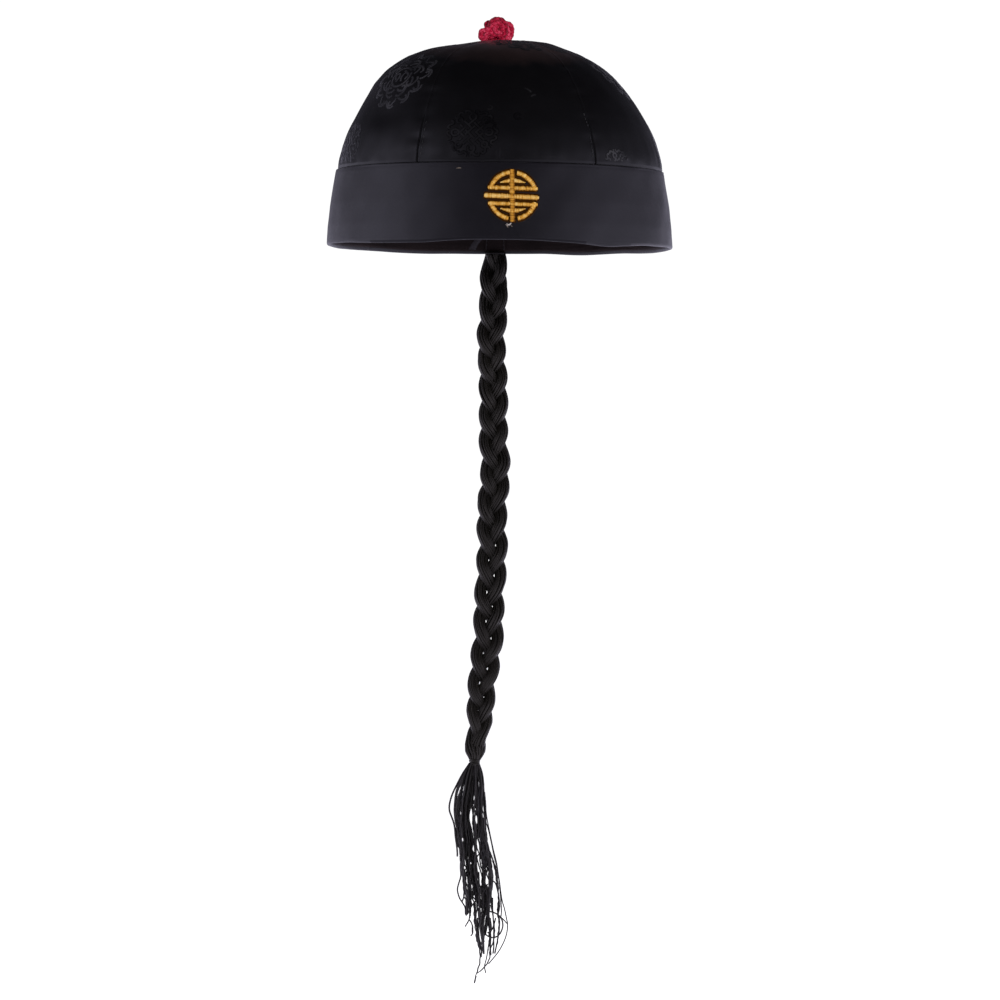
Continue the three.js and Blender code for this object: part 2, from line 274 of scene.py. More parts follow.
# ---------------------------------------------------------------- materials
class Nodes:
    def __init__(self, name):
        self.mat = bpy.data.materials.new(name)
        self.mat.use_nodes = True
        self.tree = self.mat.node_tree
        self.bsdf = next(n for n in self.tree.nodes if n.type == "BSDF_PRINCIPLED")

    def node(self, kind, **props):
        n = self.tree.nodes.new(kind)
        for k, v in props.items():
            setattr(n, k, v)
        return n

    def link(self, a, b):
        self.tree.links.new(a, b)

    def cloth(self, scale):
        """Cloth coordinates in mm, scaled."""
        uv = self.node("ShaderNodeUVMap", uv_map="cloth")
        m = self.node("ShaderNodeMapping")
        m.inputs["Scale"].default_value = scale
        self.link(uv.outputs["UV"], m.inputs["Vector"])
        return m.outputs["Vector"]

    def place(self, scale=1000.0):
        """Object coordinates in mm times scale / 1000."""
        c = self.node("ShaderNodeTexCoord")
        m = self.node("ShaderNodeMapping")
        m.inputs["Scale"].default_value = (scale, scale, scale)
        self.link(c.outputs["Object"], m.inputs["Vector"])
        return m.outputs["Vector"]

    def noise(self, vector, scale, detail=3.0, rough=0.55):
        n = self.node("ShaderNodeTexNoise")
        n.inputs["Scale"].default_value = scale
        n.inputs["Detail"].default_value = detail
        n.inputs["Roughness"].default_value = rough
        self.link(vector, n.inputs["Vector"])
        return n.outputs["Fac"]

    def wave(self, vector, scale, direction="X", distortion=0.0, profile="SIN"):
        n = self.node("ShaderNodeTexWave", wave_type="BANDS", bands_direction=direction, wave_profile=profile)
        n.inputs["Scale"].default_value = scale
        n.inputs["Distortion"].default_value = distortion
        n.inputs["Detail"].default_value = 1.0
        self.link(vector, n.inputs["Vector"])
        return n.outputs["Fac"]

    def math(self, op, a, b=None, clamp=False):
        n = self.node("ShaderNodeMath", operation=op, use_clamp=clamp)
        for i, x in enumerate((a, b)):
            if x is None:
                continue
            if isinstance(x, (int, float)):
                n.inputs[i].default_value = x
            else:
                self.link(x, n.inputs[i])
        return n.outputs[0]

    def ramp(self, fac, stops):
        n = self.node("ShaderNodeValToRGB")
        while len(n.color_ramp.elements) < len(stops):
            n.color_ramp.elements.new(0.5)
        for e, (at, colour) in zip(n.color_ramp.elements, stops):
            e.position = at
            e.color = (*colour, 1)
        self.link(fac, n.inputs["Fac"])
        return n.outputs["Color"]

    def spread(self, fac, low, high, to_low, to_high):
        n = self.node("ShaderNodeMapRange", clamp=True)
        for k, v in (("From Min", low), ("From Max", high), ("To Min", to_low), ("To Max", to_high)):
            n.inputs[k].default_value = v
        self.link(fac, n.inputs["Value"])
        return n.outputs["Result"]

    def shade(self):
        n = self.node("ShaderNodeAttribute", attribute_name="shade", attribute_type="GEOMETRY")
        return n.outputs["Fac"]

    def bump(self, height, strength, distance):
        n = self.node("ShaderNodeBump")
        n.inputs["Strength"].default_value = strength
        n.inputs["Distance"].default_value = distance * MM
        self.link(height, n.inputs["Height"])
        self.link(n.outputs["Normal"], self.bsdf.inputs["Normal"])

    def set(self, **values):
        for k, v in values.items():
            self.bsdf.inputs[k.replace("_", " ")].default_value = v

    def colour(self, output):
        self.link(output, self.bsdf.inputs["Base Color"])

    def roughness(self, output):
        self.link(output, self.bsdf.inputs["Roughness"])


def brushed(n, amount, turn=0.0):
    """Long floats spread a highlight across themselves: turn 0.25 is for floats that lie level."""
    t = n.node("ShaderNodeTangent", direction_type="UV_MAP", uv_map="cloth")
    n.link(t.outputs["Tangent"], n.bsdf.inputs["Tangent"])
    n.bsdf.inputs["Anisotropic"].default_value = amount
    n.bsdf.inputs["Anisotropic Rotation"].default_value = turn


def satin(name, dark, light, rough, shine, sheen, fine=True):
    """Warp satin: long floats up the gore, bound in a steep twill."""
    n = Nodes(name)
    brushed(n, 0.74)
    place, cloth = n.place(), n.cloth((1, 1, 1))
    slub = n.noise(place, 0.035, 4.0, 0.6)
    # painted reflection: the satin is tinted reddish brown round the button, where the red cord would be reflected
    xyz = n.node("ShaderNodeSeparateXYZ")
    n.link(place, xyz.inputs[0])
    height = n.math("ADD", xyz.outputs["Z"], n.math("MULTIPLY", slub, 14.0))
    height = n.math("ADD", height, n.math("MULTIPLY", xyz.outputs["X"], 0.06))
    wide = n.math("MAXIMUM", n.math("SUBTRACT", n.math("ABSOLUTE", xyz.outputs["X"], 0.0), 26.0), 0.0)
    button_reflection_tint = n.spread(n.math("SUBTRACT", height, n.math("MULTIPLY", wide, 0.3)), 103.0, 115.5, 0.0, 0.95)
    mix = n.node("ShaderNodeMix", data_type="RGBA")
    n.link(button_reflection_tint, mix.inputs["Factor"])
    n.link(n.ramp(slub, [(0.3, dark), (0.72, light)]), mix.inputs["A"])
    mix.inputs["B"].default_value = (0.0310, 0.0172, 0.0152, 1)
    n.colour(mix.outputs["Result"])
    n.roughness(n.spread(n.noise(place, 0.09, 3.0), 0.3, 0.7, rough - 0.035, rough + 0.045))
    warp = n.wave(cloth, 1.05, "X", 0.35)
    bind = n.wave(n.cloth((1.0, 0.45, 1)), 0.62, "DIAGONAL", 0.2)
    fibre = n.noise(n.cloth((3.2, 0.22, 1)), 1.0, 3.0)
    height = n.math("ADD", n.math("MULTIPLY", warp, 0.35), n.math("MULTIPLY", bind, 0.4))
    height = n.math("ADD", height, n.math("MULTIPLY", fibre, 0.55))
    n.bump(height, 0.22 if fine else 0.3, 0.05)
    n.set(IOR=1.5, Specular_IOR_Level=shine, Sheen_Weight=sheen, Sheen_Roughness=0.4)
    n.bsdf.inputs["Sheen Tint"].default_value = (0.85, 0.85, 1.0, 1)
    return n.mat


def figured(name, stops, rough, dull, shine, sheen):
    """Weft-faced figure of the brocade: bold lines, each with a dark sunk outline. How pale the lines are is painted
    light, set per figure by the shade attribute.
    """
    n = Nodes(name)
    brushed(n, 0.80, 0.25)
    place = n.place()
    n.colour(n.ramp(n.math("ADD", n.shade(), n.spread(n.noise(place, 0.5, 3.0), 0.3, 0.7, -0.06, 0.06), clamp=True), stops))
    n.link(n.spread(n.shade(), 0.0, 0.35, dull, shine), n.bsdf.inputs["Specular IOR Level"])
    n.roughness(n.spread(n.noise(place, 0.5, 2.0), 0.3, 0.7, rough - 0.04, rough + 0.05))
    weft = n.wave(n.cloth((1, 1, 1)), 1.3, "Y", 0.4)
    n.bump(weft, 0.35, 0.05)
    n.set(IOR=1.5, Sheen_Weight=sheen, Sheen_Roughness=0.5)
    n.bsdf.inputs["Sheen Tint"].default_value = (0.9, 0.88, 1.0, 1)
    return n.mat


def woven(name, dark, light, rough, shine, sheen, pitch, tint=(0.9, 0.88, 1.0), relief=0.3):
    """Plain close weave; pitch is threads per mm times 2 pi / 20."""
    n = Nodes(name)
    place = n.place()
    blot = n.noise(place, 0.03, 5.0, 0.6)
    speck = n.noise(place, 1.1, 2.0)
    mixed = n.math("ADD", n.math("MULTIPLY", blot, 0.7), n.math("MULTIPLY", speck, 0.3))
    n.colour(n.ramp(mixed, [(0.32, dark), (0.68, light)]))
    n.roughness(n.spread(speck, 0.3, 0.7, rough - 0.05, rough + 0.05))
    cloth = n.cloth((1, 1, 1))
    weft, warp = n.wave(cloth, pitch, "X", 0.3), n.wave(cloth, pitch, "Y", 0.3)
    over = n.math("MAXIMUM", n.math("MULTIPLY", weft, n.math("SUBTRACT", 1.0, warp)), n.math("MULTIPLY", warp, n.math("SUBTRACT", 1.0, weft)))
    height = n.math("ADD", over, n.math("MULTIPLY", n.noise(cloth, 1.6, 3.0), 0.8))
    n.bump(height, relief, 0.08)
    n.set(IOR=1.5, Specular_IOR_Level=shine, Sheen_Weight=sheen, Sheen_Roughness=0.45)
    n.bsdf.inputs["Sheen Tint"].default_value = (*tint, 1)
    return n.mat


def thread(name, stops, rough, shine, sheen=0.0, tint=(1, 1, 1), twist=3.0, relief=0.5, metal=0.0, fleck=0.16):
    """Twisted thread or cord: its colour goes by each thread's shade and along its length."""
    n = Nodes(name)
    place = n.place()
    along = n.noise(place, 0.8, 3.0)
    fac = n.math("ADD", n.shade(), n.spread(along, 0.25, 0.75, -fleck, fleck), clamp=True)
    n.colour(n.ramp(fac, stops))
    n.roughness(n.spread(n.noise(place, 2.0, 2.0), 0.3, 0.7, rough - 0.06, rough + 0.06))
    ply = n.wave(n.cloth((6.2832 * 0.5, twist, 1)), 1.0, "DIAGONAL", 0.2)
    n.bump(n.math("ADD", ply, n.math("MULTIPLY", n.noise(place, 4.0, 2.0), 0.4)), relief, 0.12)
    n.set(IOR=1.5, Specular_IOR_Level=shine, Sheen_Weight=sheen, Sheen_Roughness=0.4, Metallic=metal)
    n.bsdf.inputs["Sheen Tint"].default_value = (*tint, 1)
    return n.mat


SATIN = satin("crown satin", (0.0020, 0.0018, 0.0020), (0.0032, 0.0029, 0.0031), 0.38, 0.42, 0.02)
FIGURE = figured(
    "brocade figure",
    [(0.0, (0.0007, 0.0006, 0.0007)), (0.15, (0.0012, 0.0011, 0.0012)), (0.5, (0.0068, 0.0065, 0.0068)), (1.0, (0.0290, 0.0280, 0.0290))],
    0.42, 0.18, 0.46, 0.02,
)
BACKING = woven("gore backing", (0.010, 0.0095, 0.010), (0.017, 0.016, 0.017), 0.85, 0.25, 0.1, 0.9)
BAND = woven("band sateen", (0.0031, 0.0027, 0.0038), (0.0050, 0.0044, 0.0059), 0.44, 0.56, 0.05, 0.95, (0.88, 0.85, 1.0), 0.22)
# The rim's fold in three copies of one cloth, lighter towards the sides and back: partly rubbed wear, partly painted
# reflection of the table below.
FOLD_WORN_AND_LIT = woven("band fold", (0.007, 0.0062, 0.0078), (0.017, 0.0152, 0.0182), 0.42, 0.6, 0.1, 0.95, (0.9, 0.88, 1.0), 0.3)
FOLD_LESS_WORN_AND_LIT = woven("band fold, less worn and lit", (0.005, 0.0045, 0.0057), (0.011, 0.010, 0.0122), 0.46, 0.40, 0.08, 0.95, (0.9, 0.88, 1.0), 0.3)
FOLD_LEAST_WORN_AND_LIT = woven("band fold, hardly worn and lit", (0.0030, 0.0027, 0.0036), (0.0062, 0.0056, 0.0072), 0.50, 0.22, 0.04, 0.95, (0.9, 0.88, 1.0), 0.3)
FACING = woven("band facing", (0.0150, 0.0105, 0.0094), (0.0335, 0.0235, 0.0213), 0.64, 0.08, 0.04, 0.8, (1.0, 0.86, 0.88), 0.35)
GOLD = thread(
    "gold embroidery",
    [(0.04, (0.10, 0.027, 0.001)), (0.3, (0.45, 0.175, 0.008)), (0.6, (0.78, 0.405, 0.055)), (0.95, (0.98, 0.69, 0.24))],
    0.32, 0.6, 0.05, (1, 0.85, 0.6), 4.0, 0.45, 0.0, 0.16,
)
RED = thread(
    "red cord",
    [(0.05, (0.045, 0.0, 0.003)), (0.35, (0.27, 0.001, 0.016)), (0.6, (0.60, 0.010, 0.052)), (0.95, (1.0, 0.12, 0.22))],
    0.45, 0.5, 0.2, (1, 0.4, 0.5), 2.2, 0.7, 0.0, 0.34,
)
BLACK = thread(
    "black cord",
    [(0.1, (0.0056, 0.0050, 0.0042)), (0.5, (0.0078, 0.0069, 0.0058)), (0.9, (0.0110, 0.0097, 0.0081))],
    0.23, 0.58, 0.0, (0.9, 0.9, 1), 2.6, 0.38,
)
BLACK_ENDS = thread(
    "black cord, frayed",
    [(0.1, (0.0068, 0.0062, 0.0062)), (0.5, (0.0104, 0.0096, 0.0096)), (0.9, (0.0178, 0.0164, 0.0164))],
    0.34, 0.78, 0.0, (0.9, 0.9, 1), 2.6, 0.45,
)


def principled(mat):
    return next(x for x in mat.node_tree.nodes if x.type == "BSDF_PRINCIPLED")


principled(BLACK_ENDS).inputs["Specular Tint"].default_value = (1.0, 0.95, 0.88, 1)
principled(BLACK).inputs["Specular Tint"].default_value = (1.0, 0.94, 0.80, 1)
principled(GOLD).inputs["Specular Tint"].default_value = (1.0, 0.80, 0.50, 1)
STITCH = thread(
    "sewing thread",
    [(0.1, (0.012, 0.012, 0.013)), (0.5, (0.024, 0.024, 0.026)), (0.9, (0.05, 0.05, 0.052))],
    0.45, 0.5, 0.1, (1, 1, 1), 4.0, 0.4,
)
PALE = thread(
    "loose thread ends",
    [(0.1, (0.20, 0.16, 0.12)), (0.5, (0.34, 0.28, 0.22)), (0.9, (0.62, 0.58, 0.54))],
    0.6, 0.4, 0.2, (1, 1, 1), 4.0, 0.3,
)

# -------------------------------------------------------------------- crown
GORES = [
    ("front", -34.2, 31.1),
    ("front_right", 31.1, 90.0),
    ("back_right", 90.0, 148.9),
    ("back", 148.9, 207.9),
    ("back_left", 207.9, 266.8),
    ("front_left", 266.8, 325.8),
]
CROWN_ROWS = np.array(
    [
        (89.95, 35.9, 0, 0), (89.3, 40.6, 0, 0), (89.6, 41.9, 0, 0), (90.0, 43.2, 0, 0),
        (88.8, 50.0, 0, 0), (85.4, 60.0, 0, 0), (80.6, 70.0, 0, 0.1), (74.8, 80.2, 0, 0.3),
        (68.0, 90.2, 0.2, 1.3), (60.2, 98.2, 0.5, 2.4), (50.8, 104.6, 0.6, 3.0),
        (40.0, 108.85, 1.0, 2.7), (28.5, 111.55, 1.5, 1.0), (15.0, 113.5, 2.0, 0), (3.2, 114.3, -1.4, 0),
        (0.6, 114.35, -1.6, 0),
    ],
    float,
)
_knots = np.concatenate([[0], np.cumsum(np.hypot(np.diff(CROWN_ROWS[:, 0]), np.diff(CROWN_ROWS[:, 1])))])
_knots -= _knots[3]
_dense = through(np.column_stack([CROWN_ROWS, _knots]), 24)
CROWN_END = _knots[-1]


def crown_at(s):
    """Radius, height, lean, shoulder and outward normal at s mm up the gore from the band."""
    cols = [np.interp(s, _dense[:, 4], _dense[:, k]) for k in range(4)]
    e = 0.8
    dr = np.interp(s + e, _dense[:, 4], _dense[:, 0]) - np.interp(s - e, _dense[:, 4], _dense[:, 0])
    dz = np.interp(s + e, _dense[:, 4], _dense[:, 1]) - np.interp(s - e, _dense[:, 4], _dense[:, 1])
    l = np.maximum(np.hypot(dr, dz), 1e-6)
    nr, nz = dz / l, -dr / l
    return (*cols, nr, nz)


SOFT = waves(11, 14, 16, 70, 2)
RIPPLE = waves(12, 12, 7, 18, 1)
SEAM_PULL = waves(13, 9, 4.5, 13, 1)
PATCH = waves(14, 10, 9, 26, 2)


# The crown isn't quite round: how far its sides stand in or out, s mm up (left, right).
UNEVEN = np.array(
    [
        (0, 0, 0), (20, -0.04, 0), (28, -0.12, 0.05), (34, 0, -0.20), (38, 0.12, -0.28), (46, 0.29, -0.34),
        (54, 0.27, -0.44), (60, 0.15, -0.46), (66, -0.26, -0.44), (71, -0.46, -0.52), (76, -0.52, -0.70), (81, -0.47, -0.62),
        (85, -0.60, -0.48), (89, -0.74, -0.38), (93, -0.72, -0.18), (97, -0.70, 0.15), (101, -0.62, 0.38), (105, -0.45, 0.30),
        (110, -0.15, 0.08), (116, 0, 0), (140, 0, 0),
    ]
)


def uneven(angle, s):
    side = np.sin(angle)
    w = np.clip((np.abs(side) - 0.30) / 0.45, 0, 1)
    left, right = (np.interp(s, UNEVEN[:, 0], UNEVEN[:, k]) for k in (1, 2))
    return w * w * (3 - 2 * w) * np.where(side < 0, left, right)


def gore_shift(gore, angle, s):
    """How far a gore's face stands out of the plain crown, in mm."""
    _, a0, a1 = GORES[gore]
    r = crown_at(s)[0]
    deg = np.degrees(angle)
    t = np.clip((deg - a0) / (a1 - a0), 0, 1)
    arc = np.radians(np.minimum(np.abs(deg - a0), np.abs(a1 - deg))) * r
    fade = np.clip(r / 40, 0, 1)
    above = np.clip(s / 2.5, 0, 1)
    # both gores at a seam share its unevenness, so that their edges meet
    seam = np.where(t < 0.5, gore, (gore + 1) % 6) * 51.9
    clear = 1 - np.exp(-((arc / 6.5) ** 2))
    out = uneven(angle, s) + 0.24 * fade * np.sin(np.pi * t) - 0.22 * fade * np.exp(-((arc / 4.5) ** 2))
    # the seam: drawn in low down, with a low ridge beside it, and a thin ridge itself higher up
    drawn = np.clip((31 - s) / 16, 0, 1)
    out = out - 0.52 * drawn * np.clip(r / 14, 0.3, 1) * np.exp(-((arc / 0.40) ** 2))
    out = out + 0.10 * drawn * np.clip(r / 20, 0.2, 1) * np.exp(-(((arc - 0.95) / 0.60) ** 2))
    out = out + 0.20 * (1 - drawn) * np.clip(r / 20, 0.2, 1) * np.exp(-((arc / 0.62) ** 2))
    out = out + 0.10 * SEAM_PULL(s + seam) * np.exp(-((arc / 5.0) ** 2)) * fade * above
    # the satin doesn't lie quite flat, least of all where it is eased into the band
    out = out + 0.17 * SOFT(np.radians(deg) * 88, s) * fade * above * clear
    low = np.exp(-((s / 13.0) ** 2)) * above
    out = out + 0.15 * RIPPLE(np.radians(deg) * 90) * low * clear
    # a small tuck caught in the seam over the roundel
    tuck = np.exp(-(((deg + 4.8) * 1.57 / 0.75) ** 2)) * np.clip(1 - s / 6.5, 0, 1) * above
    out = out - 0.55 * tuck
    out = out + 0.35 * np.exp(-(((deg + 3.7) * 1.57 / 0.8) ** 2)) * np.clip(1 - s / 7.5, 0, 1) * above
    return out


def crown_point(angle, s, out=0.0):
    r, z, lean, shoulder, nr, nz = crown_at(s)
    wide = r - shoulder * np.sin(angle) + nr * out
    angle = np.asarray(angle, float) + 0 * wide
    return hang(np.stack([lean + wide * np.sin(angle), -wide * np.cos(angle), z + nz * out + 0 * angle], -1))


def on_gore(gore, angle, s, out=0.0):
    return crown_point(angle, s, gore_shift(gore, angle, s) + out)


def gore_columns(gore):
    _, a0, a1 = GORES[gore]
    near = [0, 0.0022, 0.0045, 0.007, 0.010, 0.014, 0.020, 0.028, 0.039, 0.053, 0.07, 0.09]
    t = near + list(np.linspace(0.112, 0.888, 34)) + [1 - x for x in near[::-1]]
    deg = a0 + np.array(t) * (a1 - a0)
    if gore == 0:
        deg = np.concatenate([deg, np.arange(-6.6, -2.3, 0.24)])
    return np.unique(np.round(deg, 4))


# Brocade figures in mm round their middle: cloud and bat curls in
# a round, and an endless knot in a ring of scrolls. (u across, v up.)
def curl(cx, cy, r0, r1, a0, a1, n=16):
    t = np.linspace(0, 1, n)
    a, r = np.radians(a0 + (a1 - a0) * t), r0 + (r1 - r0) * t
    return np.column_stack([cx + r * np.cos(a), cy + r * np.sin(a)])


def turned(lines, degrees, mirror=False, grow=1.0):
    a = math.radians(degrees)
    m = np.array([[math.cos(a), -math.sin(a)], [math.sin(a), math.cos(a)]]) * grow
    return [(np.asarray(p) * ([-1, 1] if mirror else [1, 1])) @ m.T for p in lines]


def cloud_round():
    lines = [curl(0, 0, 6.3, 6.3, 20, 372, 34)]
    # the bud in the middle
    lines += [
        through([(-3.6, -2.6), (-1.6, -0.4), (-1.2, 2.2), (-3.4, 3.4), (-4.3, 1.4), (-3.3, -1.2)], 5),
        through([(3.9, 2.6), (1.4, 1.6), (0.2, -0.8), (0.4, -3.6)], 5),
        through([(1.2, 4.3), (2.8, 2.4), (4.6, -0.6), (2.6, -3.2)], 5),
    ]
    # hooks round it, in turn long and short
    for k in range(8):
        hook = [
            np.concatenate([through([(7.7, -2.2), (9.6, -1.2), (10.9, 0.9)], 5), curl(9.0, 1.5, 2.0, 1.0, -15, 235, 14)]),
            through([(8.3, 3.9), (10.6, 3.4), (12.6, 1.2), (12.9, -1.9), (11.2, -3.3)], 5),
        ]
        lines += turned(hook, k * 45 + 8, k % 2 == 1)
    # the outer row of cloud heads
    for k in range(12):
        head = [
            np.concatenate([through([(13.6, -3.0), (15.4, -2.6), (16.9, -1.2)], 4), curl(16.3, 0.6, 1.9, 0.9, -70, 170, 13)]),
            through([(14.4, 3.6), (16.6, 3.2), (18.6, 1.9), (19.3, -0.4), (18.4, -2.5)], 5),
        ]
        lines += turned(head, k * 30 + 15, k % 2 == 0)
    return lines


def knot_round():
    lines = []
    # crossing double bars of the knot, each broken where it goes under
    a = 3.15
    for i, c in enumerate((-1.5, -0.5, 0.5, 1.5)):
        reach = 9.3 - abs(c) * 1.8
        for d, way in ((1, 1), (-1, -1)):
            parts = [(-reach, -5.4), (-3.9, 3.9), (5.4, reach)] if (i + (way > 0)) % 2 else [(-reach, -0.7), (0.7, reach)]
            for p0, p1 in parts:
                q = np.array([(p0, c * a), (p1, c * a)])
                rot = math.radians(45 * way)
                m = np.array([[math.cos(rot), -math.sin(rot)], [math.sin(rot), math.cos(rot)]])
                lines.append(evenly(q @ m.T, 1.0))
    # its loops at the four corners and sides
    for k in range(4):
        loop = [curl(9.4, 0, 1.9, 1.9, -150, 150, 16), curl(7.2, 7.2, 1.6, 1.6, -120, 210, 14)]
        lines += turned(loop, 90 * k)
    # the ring of scrolls
    for k in range(12):
        scroll = [through([(12.0, -2.6), (13.7, -2.3), (13.3, -0.4), (12.0, 0.5), (12.4, 2.2), (14.0, 2.1)], 4)]
        lines += turned(scroll, 30 * k + 8, k % 2 == 1)
    return lines


CLOUD, KNOT = cloud_round(), knot_round()
# gore, figure, angle and height of its middle, turn, growth, how pale (painted light: paler where the figure would
# catch the light, darker where not)
ROUNDS = [
    (5, CLOUD, 304.6, 52.6, 20, 1.06, 0.82),
    (5, KNOT, 285.0, 10.0, 0, 1.0, 0.24),
    (5, KNOT, 284.0, 86.0, 30, 0.95, 0.50),
    (0, KNOT, -14.3, 15.3, 0, 1.0, 0.44),
    (0, CLOUD, 15.5, 93.0, 5, 0.85, 0.46),
    (1, KNOT, 41.0, -2.4, 15, 0.72, 0.78),
    (1, KNOT, 44.0, 89.0, 40, 0.80, 0.36),
    (1, CLOUD, 72.5, 61.0, 70, 1.0, 0.85),
    (1, KNOT, 84.0, 12.0, 0, 1.0, 0.50),
    (2, CLOUD, 104.0, 16.0, 10, 1.0, 0.62),
    (2, KNOT, 122.0, 60.0, 0, 1.0, 0.55),
    (2, KNOT, 141.0, 16.0, 45, 1.0, 0.55),
    (3, CLOUD, 165.0, 44.0, 35, 1.0, 0.65),
    (3, KNOT, 192.0, 18.0, 0, 1.0, 0.55),
    (3, KNOT, 190.0, 84.0, 20, 0.95, 0.55),
    (4, CLOUD, 228.0, 26.0, 50, 1.0, 0.65),
    (4, KNOT, 252.0, 56.0, 10, 1.0, 0.58),
    (4, KNOT, 216.0, 76.0, 10, 0.95, 0.55),
]
# Small single marks: an open ring, a short hook, a dash.
MARKS = [
    (0, curl(0, 0, 2.0, 2.0, 0, 350, 14), 2.5, 25.0),
    (0, through([(-2.4, 1.6), (0.2, 0.4), (2.2, -1.8)], 4), 7.6, 42.0),
    (0, through([(-1.6, -1.2), (0.2, 0.4), (2.4, 0.6)], 4), 9.4, 38.5),
    (0, curl(0, 0, 1.7, 1.3, 200, 480, 12), -8.0, 30.5),
]


def figure_ribbons(shape, gore, lines, middle, height, turn, grow, material, pale):
    """Each line of a figure is a flat rib with a dark outline; later lines cross over earlier ones."""
    _, a0, a1 = GORES[gore]
    across = np.array([-0.95, -0.64, -0.52, 0.0, 0.52, 0.64, 0.95])
    lift = np.array([-0.03, 0.015, 0.045, 0.06, 0.045, 0.015, -0.03])
    # the core is pale and the outline dark; the core's paleness is painted light
    tone = np.array([0.0, 0.0, 0.85, 1.0, 0.85, 0.0, 0.0]) * pale
    for order, line in enumerate(turned(lines, turn, False, grow)):
        line = evenly(line, 0.8)
        t = np.gradient(line, axis=0)
        t /= np.maximum(np.linalg.norm(t, axis=1, keepdims=True), 1e-9)
        side = np.column_stack([-t[:, 1], t[:, 0]])
        q = line[:, None] + side[:, None] * across[None, :, None]
        s = height + q[..., 1]
        r = crown_at(s)[0]
        angle = math.radians(middle) + q[..., 0] / np.maximum(r, 6)
        edge = 1.3 / np.maximum(r, 6)
        inside = (
            (angle > math.radians(a0) + edge) & (angle < math.radians(a1) - edge)
            & (s > 0.4) & (s < CROWN_END - 9)
        ).all(axis=1)
        cut = np.flatnonzero(np.diff(inside.astype(int))) + 1
        for run in np.split(np.arange(len(line)), cut):
            if len(run) < 3 or not inside[run[0]]:
                continue
            h = np.broadcast_to(lift, (len(run), 7)) + 0.0016 * order
            h[0] = h[-1] = -0.04
            p = on_gore(gore, angle[run], s[run], h)
            uv = np.stack([angle[run] * 88, s[run]], -1)
            # painted sheen: the floats' colour is made paler and darker in patches across the figure
            lit = np.clip(0.80 + 0.30 * PATCH(angle[run] * 88, s[run]) + 0.10 * math.sin(order * 2.4), 0.3, 1.25)
            shape.grid(p, uv, material, tone * lit, flip=False)


CAD_GORES = ["crown_gore_" + g[0] for g in GORES]
for g, (name, a0, a1) in enumerate(GORES):
    shape = Shape()
    deg = gore_columns(g)
    rad = np.radians(deg)
    rows = np.concatenate([[-7.2, -5, -3, -1.5, -0.4], np.linspace(0.5, 12, 9), np.arange(13.6, CROWN_END - 1, 1.65), [CROWN_END]])
    clear = 0.03
    A, S = np.meshgrid(rad, rows)
    r = np.maximum(crown_at(S)[0], 0.6)
    lo, hi = math.radians(a0) + clear / r, math.radians(a1) - clear / r
    A = np.clip(A, lo, hi)
    outer = on_gore(g, A, S)
    uv = np.stack([(A - math.radians((a0 + a1) / 2)) * r, S], -1)
    nr, nc = A.shape
    first = shape.grid(outer, uv, 0)
    # inner face, with the seam allowances pressed open along both seams
    arc = np.minimum(A - lo, hi - A) * r
    allowance = 0.45 / (1 + np.exp(np.clip((arc - 6.5) * 4, -30, 30)))
    # (they lap a little past the seam inside, so that it is closed)
    lapped = A + ((A - lo) / (hi - lo) * 2 - 1) ** 9 * 0.45 / np.maximum(r, 4)
    inner = crown_point(lapped, S, gore_shift(g, A, S) * 0.6 - 1.35 - allowance + 0.05 * SOFT(A * 60, S * 1.7))
    back = shape.grid(inner, uv, 1, flip=True)
    cols, rws = np.arange(nc - 1), np.arange(nr - 1)
    last = (nr - 1) * nc
    shape.faces([[first + j + 1, first + j, back + j, back + j + 1] for j in cols], 1)
    shape.faces([[first + last + j, first + last + j + 1, back + last + j + 1, back + last + j] for j in cols], 1)
    shape.faces([[first + i * nc, first + (i + 1) * nc, back + (i + 1) * nc, back + i * nc] for i in rws], 0)
    shape.faces(
        [[first + (i + 1) * nc + nc - 1, first + i * nc + nc - 1, back + i * nc + nc - 1, back + (i + 1) * nc + nc - 1] for i in rws],
        0,
    )
    for gore, lines, middle, height, turn, grow, pale in ROUNDS:
        if gore == g:
            figure_ribbons(shape, g, lines, middle, height, turn, grow, 2, pale)
    for gore, line, middle, height in MARKS:
        if gore == g:
            figure_ribbons(shape, g, [line], middle, height, 0, 0.85, 2, 0.52)
    shape.make("crown_" + name, [SATIN, BACKING, FIGURE], [CAD_GORES[g]])

# Hand stitches that hold the hem of the right front seam, and the last ones of the left.
shape = Shape()
rng = np.random.RandomState(5)


def running_stitch(shape, gore, angle_of, s0, s1, length, gap, thick, material=0):
    s = s0
    while s < s1:
        l = length * (0.8 + 0.4 * rng.rand())
        at = np.linspace(s, s + l, 6)
        drift = rng.randn() * 0.12
        a = np.array([angle_of(x) for x in at]) + drift / 88
        out = 0.16 * np.sin(np.linspace(0, np.pi, 6)) ** 0.6 + 0.02
        shape.tube(on_gore(gore, a, at, out), thick, 5, material, 0.35 + 0.5 * rng.rand(), up=None)
        s += l + gap * (0.7 + 0.6 * rng.rand())


running_stitch(shape, 0, lambda s: math.radians(31.1) - 1.7 / crown_at(s)[0], 2.6, 15.0, 1.4, 1.2, 0.17)
running_stitch(shape, 0, lambda s: math.radians(31.1) - 1.3 / crown_at(s)[0], 20.5, 27.5, 1.3, 1.2, 0.17)
running_stitch(shape, 0, lambda s: math.radians(-34.2) + 2.1 / crown_at(s)[0], 3.0, 24.0, 1.4, 2.2, 0.14)
shape.make("seam_stitches", [STITCH], [])

# --------------------------------------------------------------------- band
BAND_FACE = np.array(
    [(0.9, 95.8), (4.0, 95.75), (10.0, 95.5), (21.5, 94.2), (31.5, 92.6), (40.4, 91.2), (41.5, 90.7)]
)
FACING_FACE = np.array([(0.4, 93.7), (2.0, 93.1), (11.0, 92.6), (21.5, 91.4), (35.2, 89.1)])
BAND_SWAY = waves(21, 10, 60, 190, 1)
BAND_DENT = waves(22, 14, 14, 55, 2)


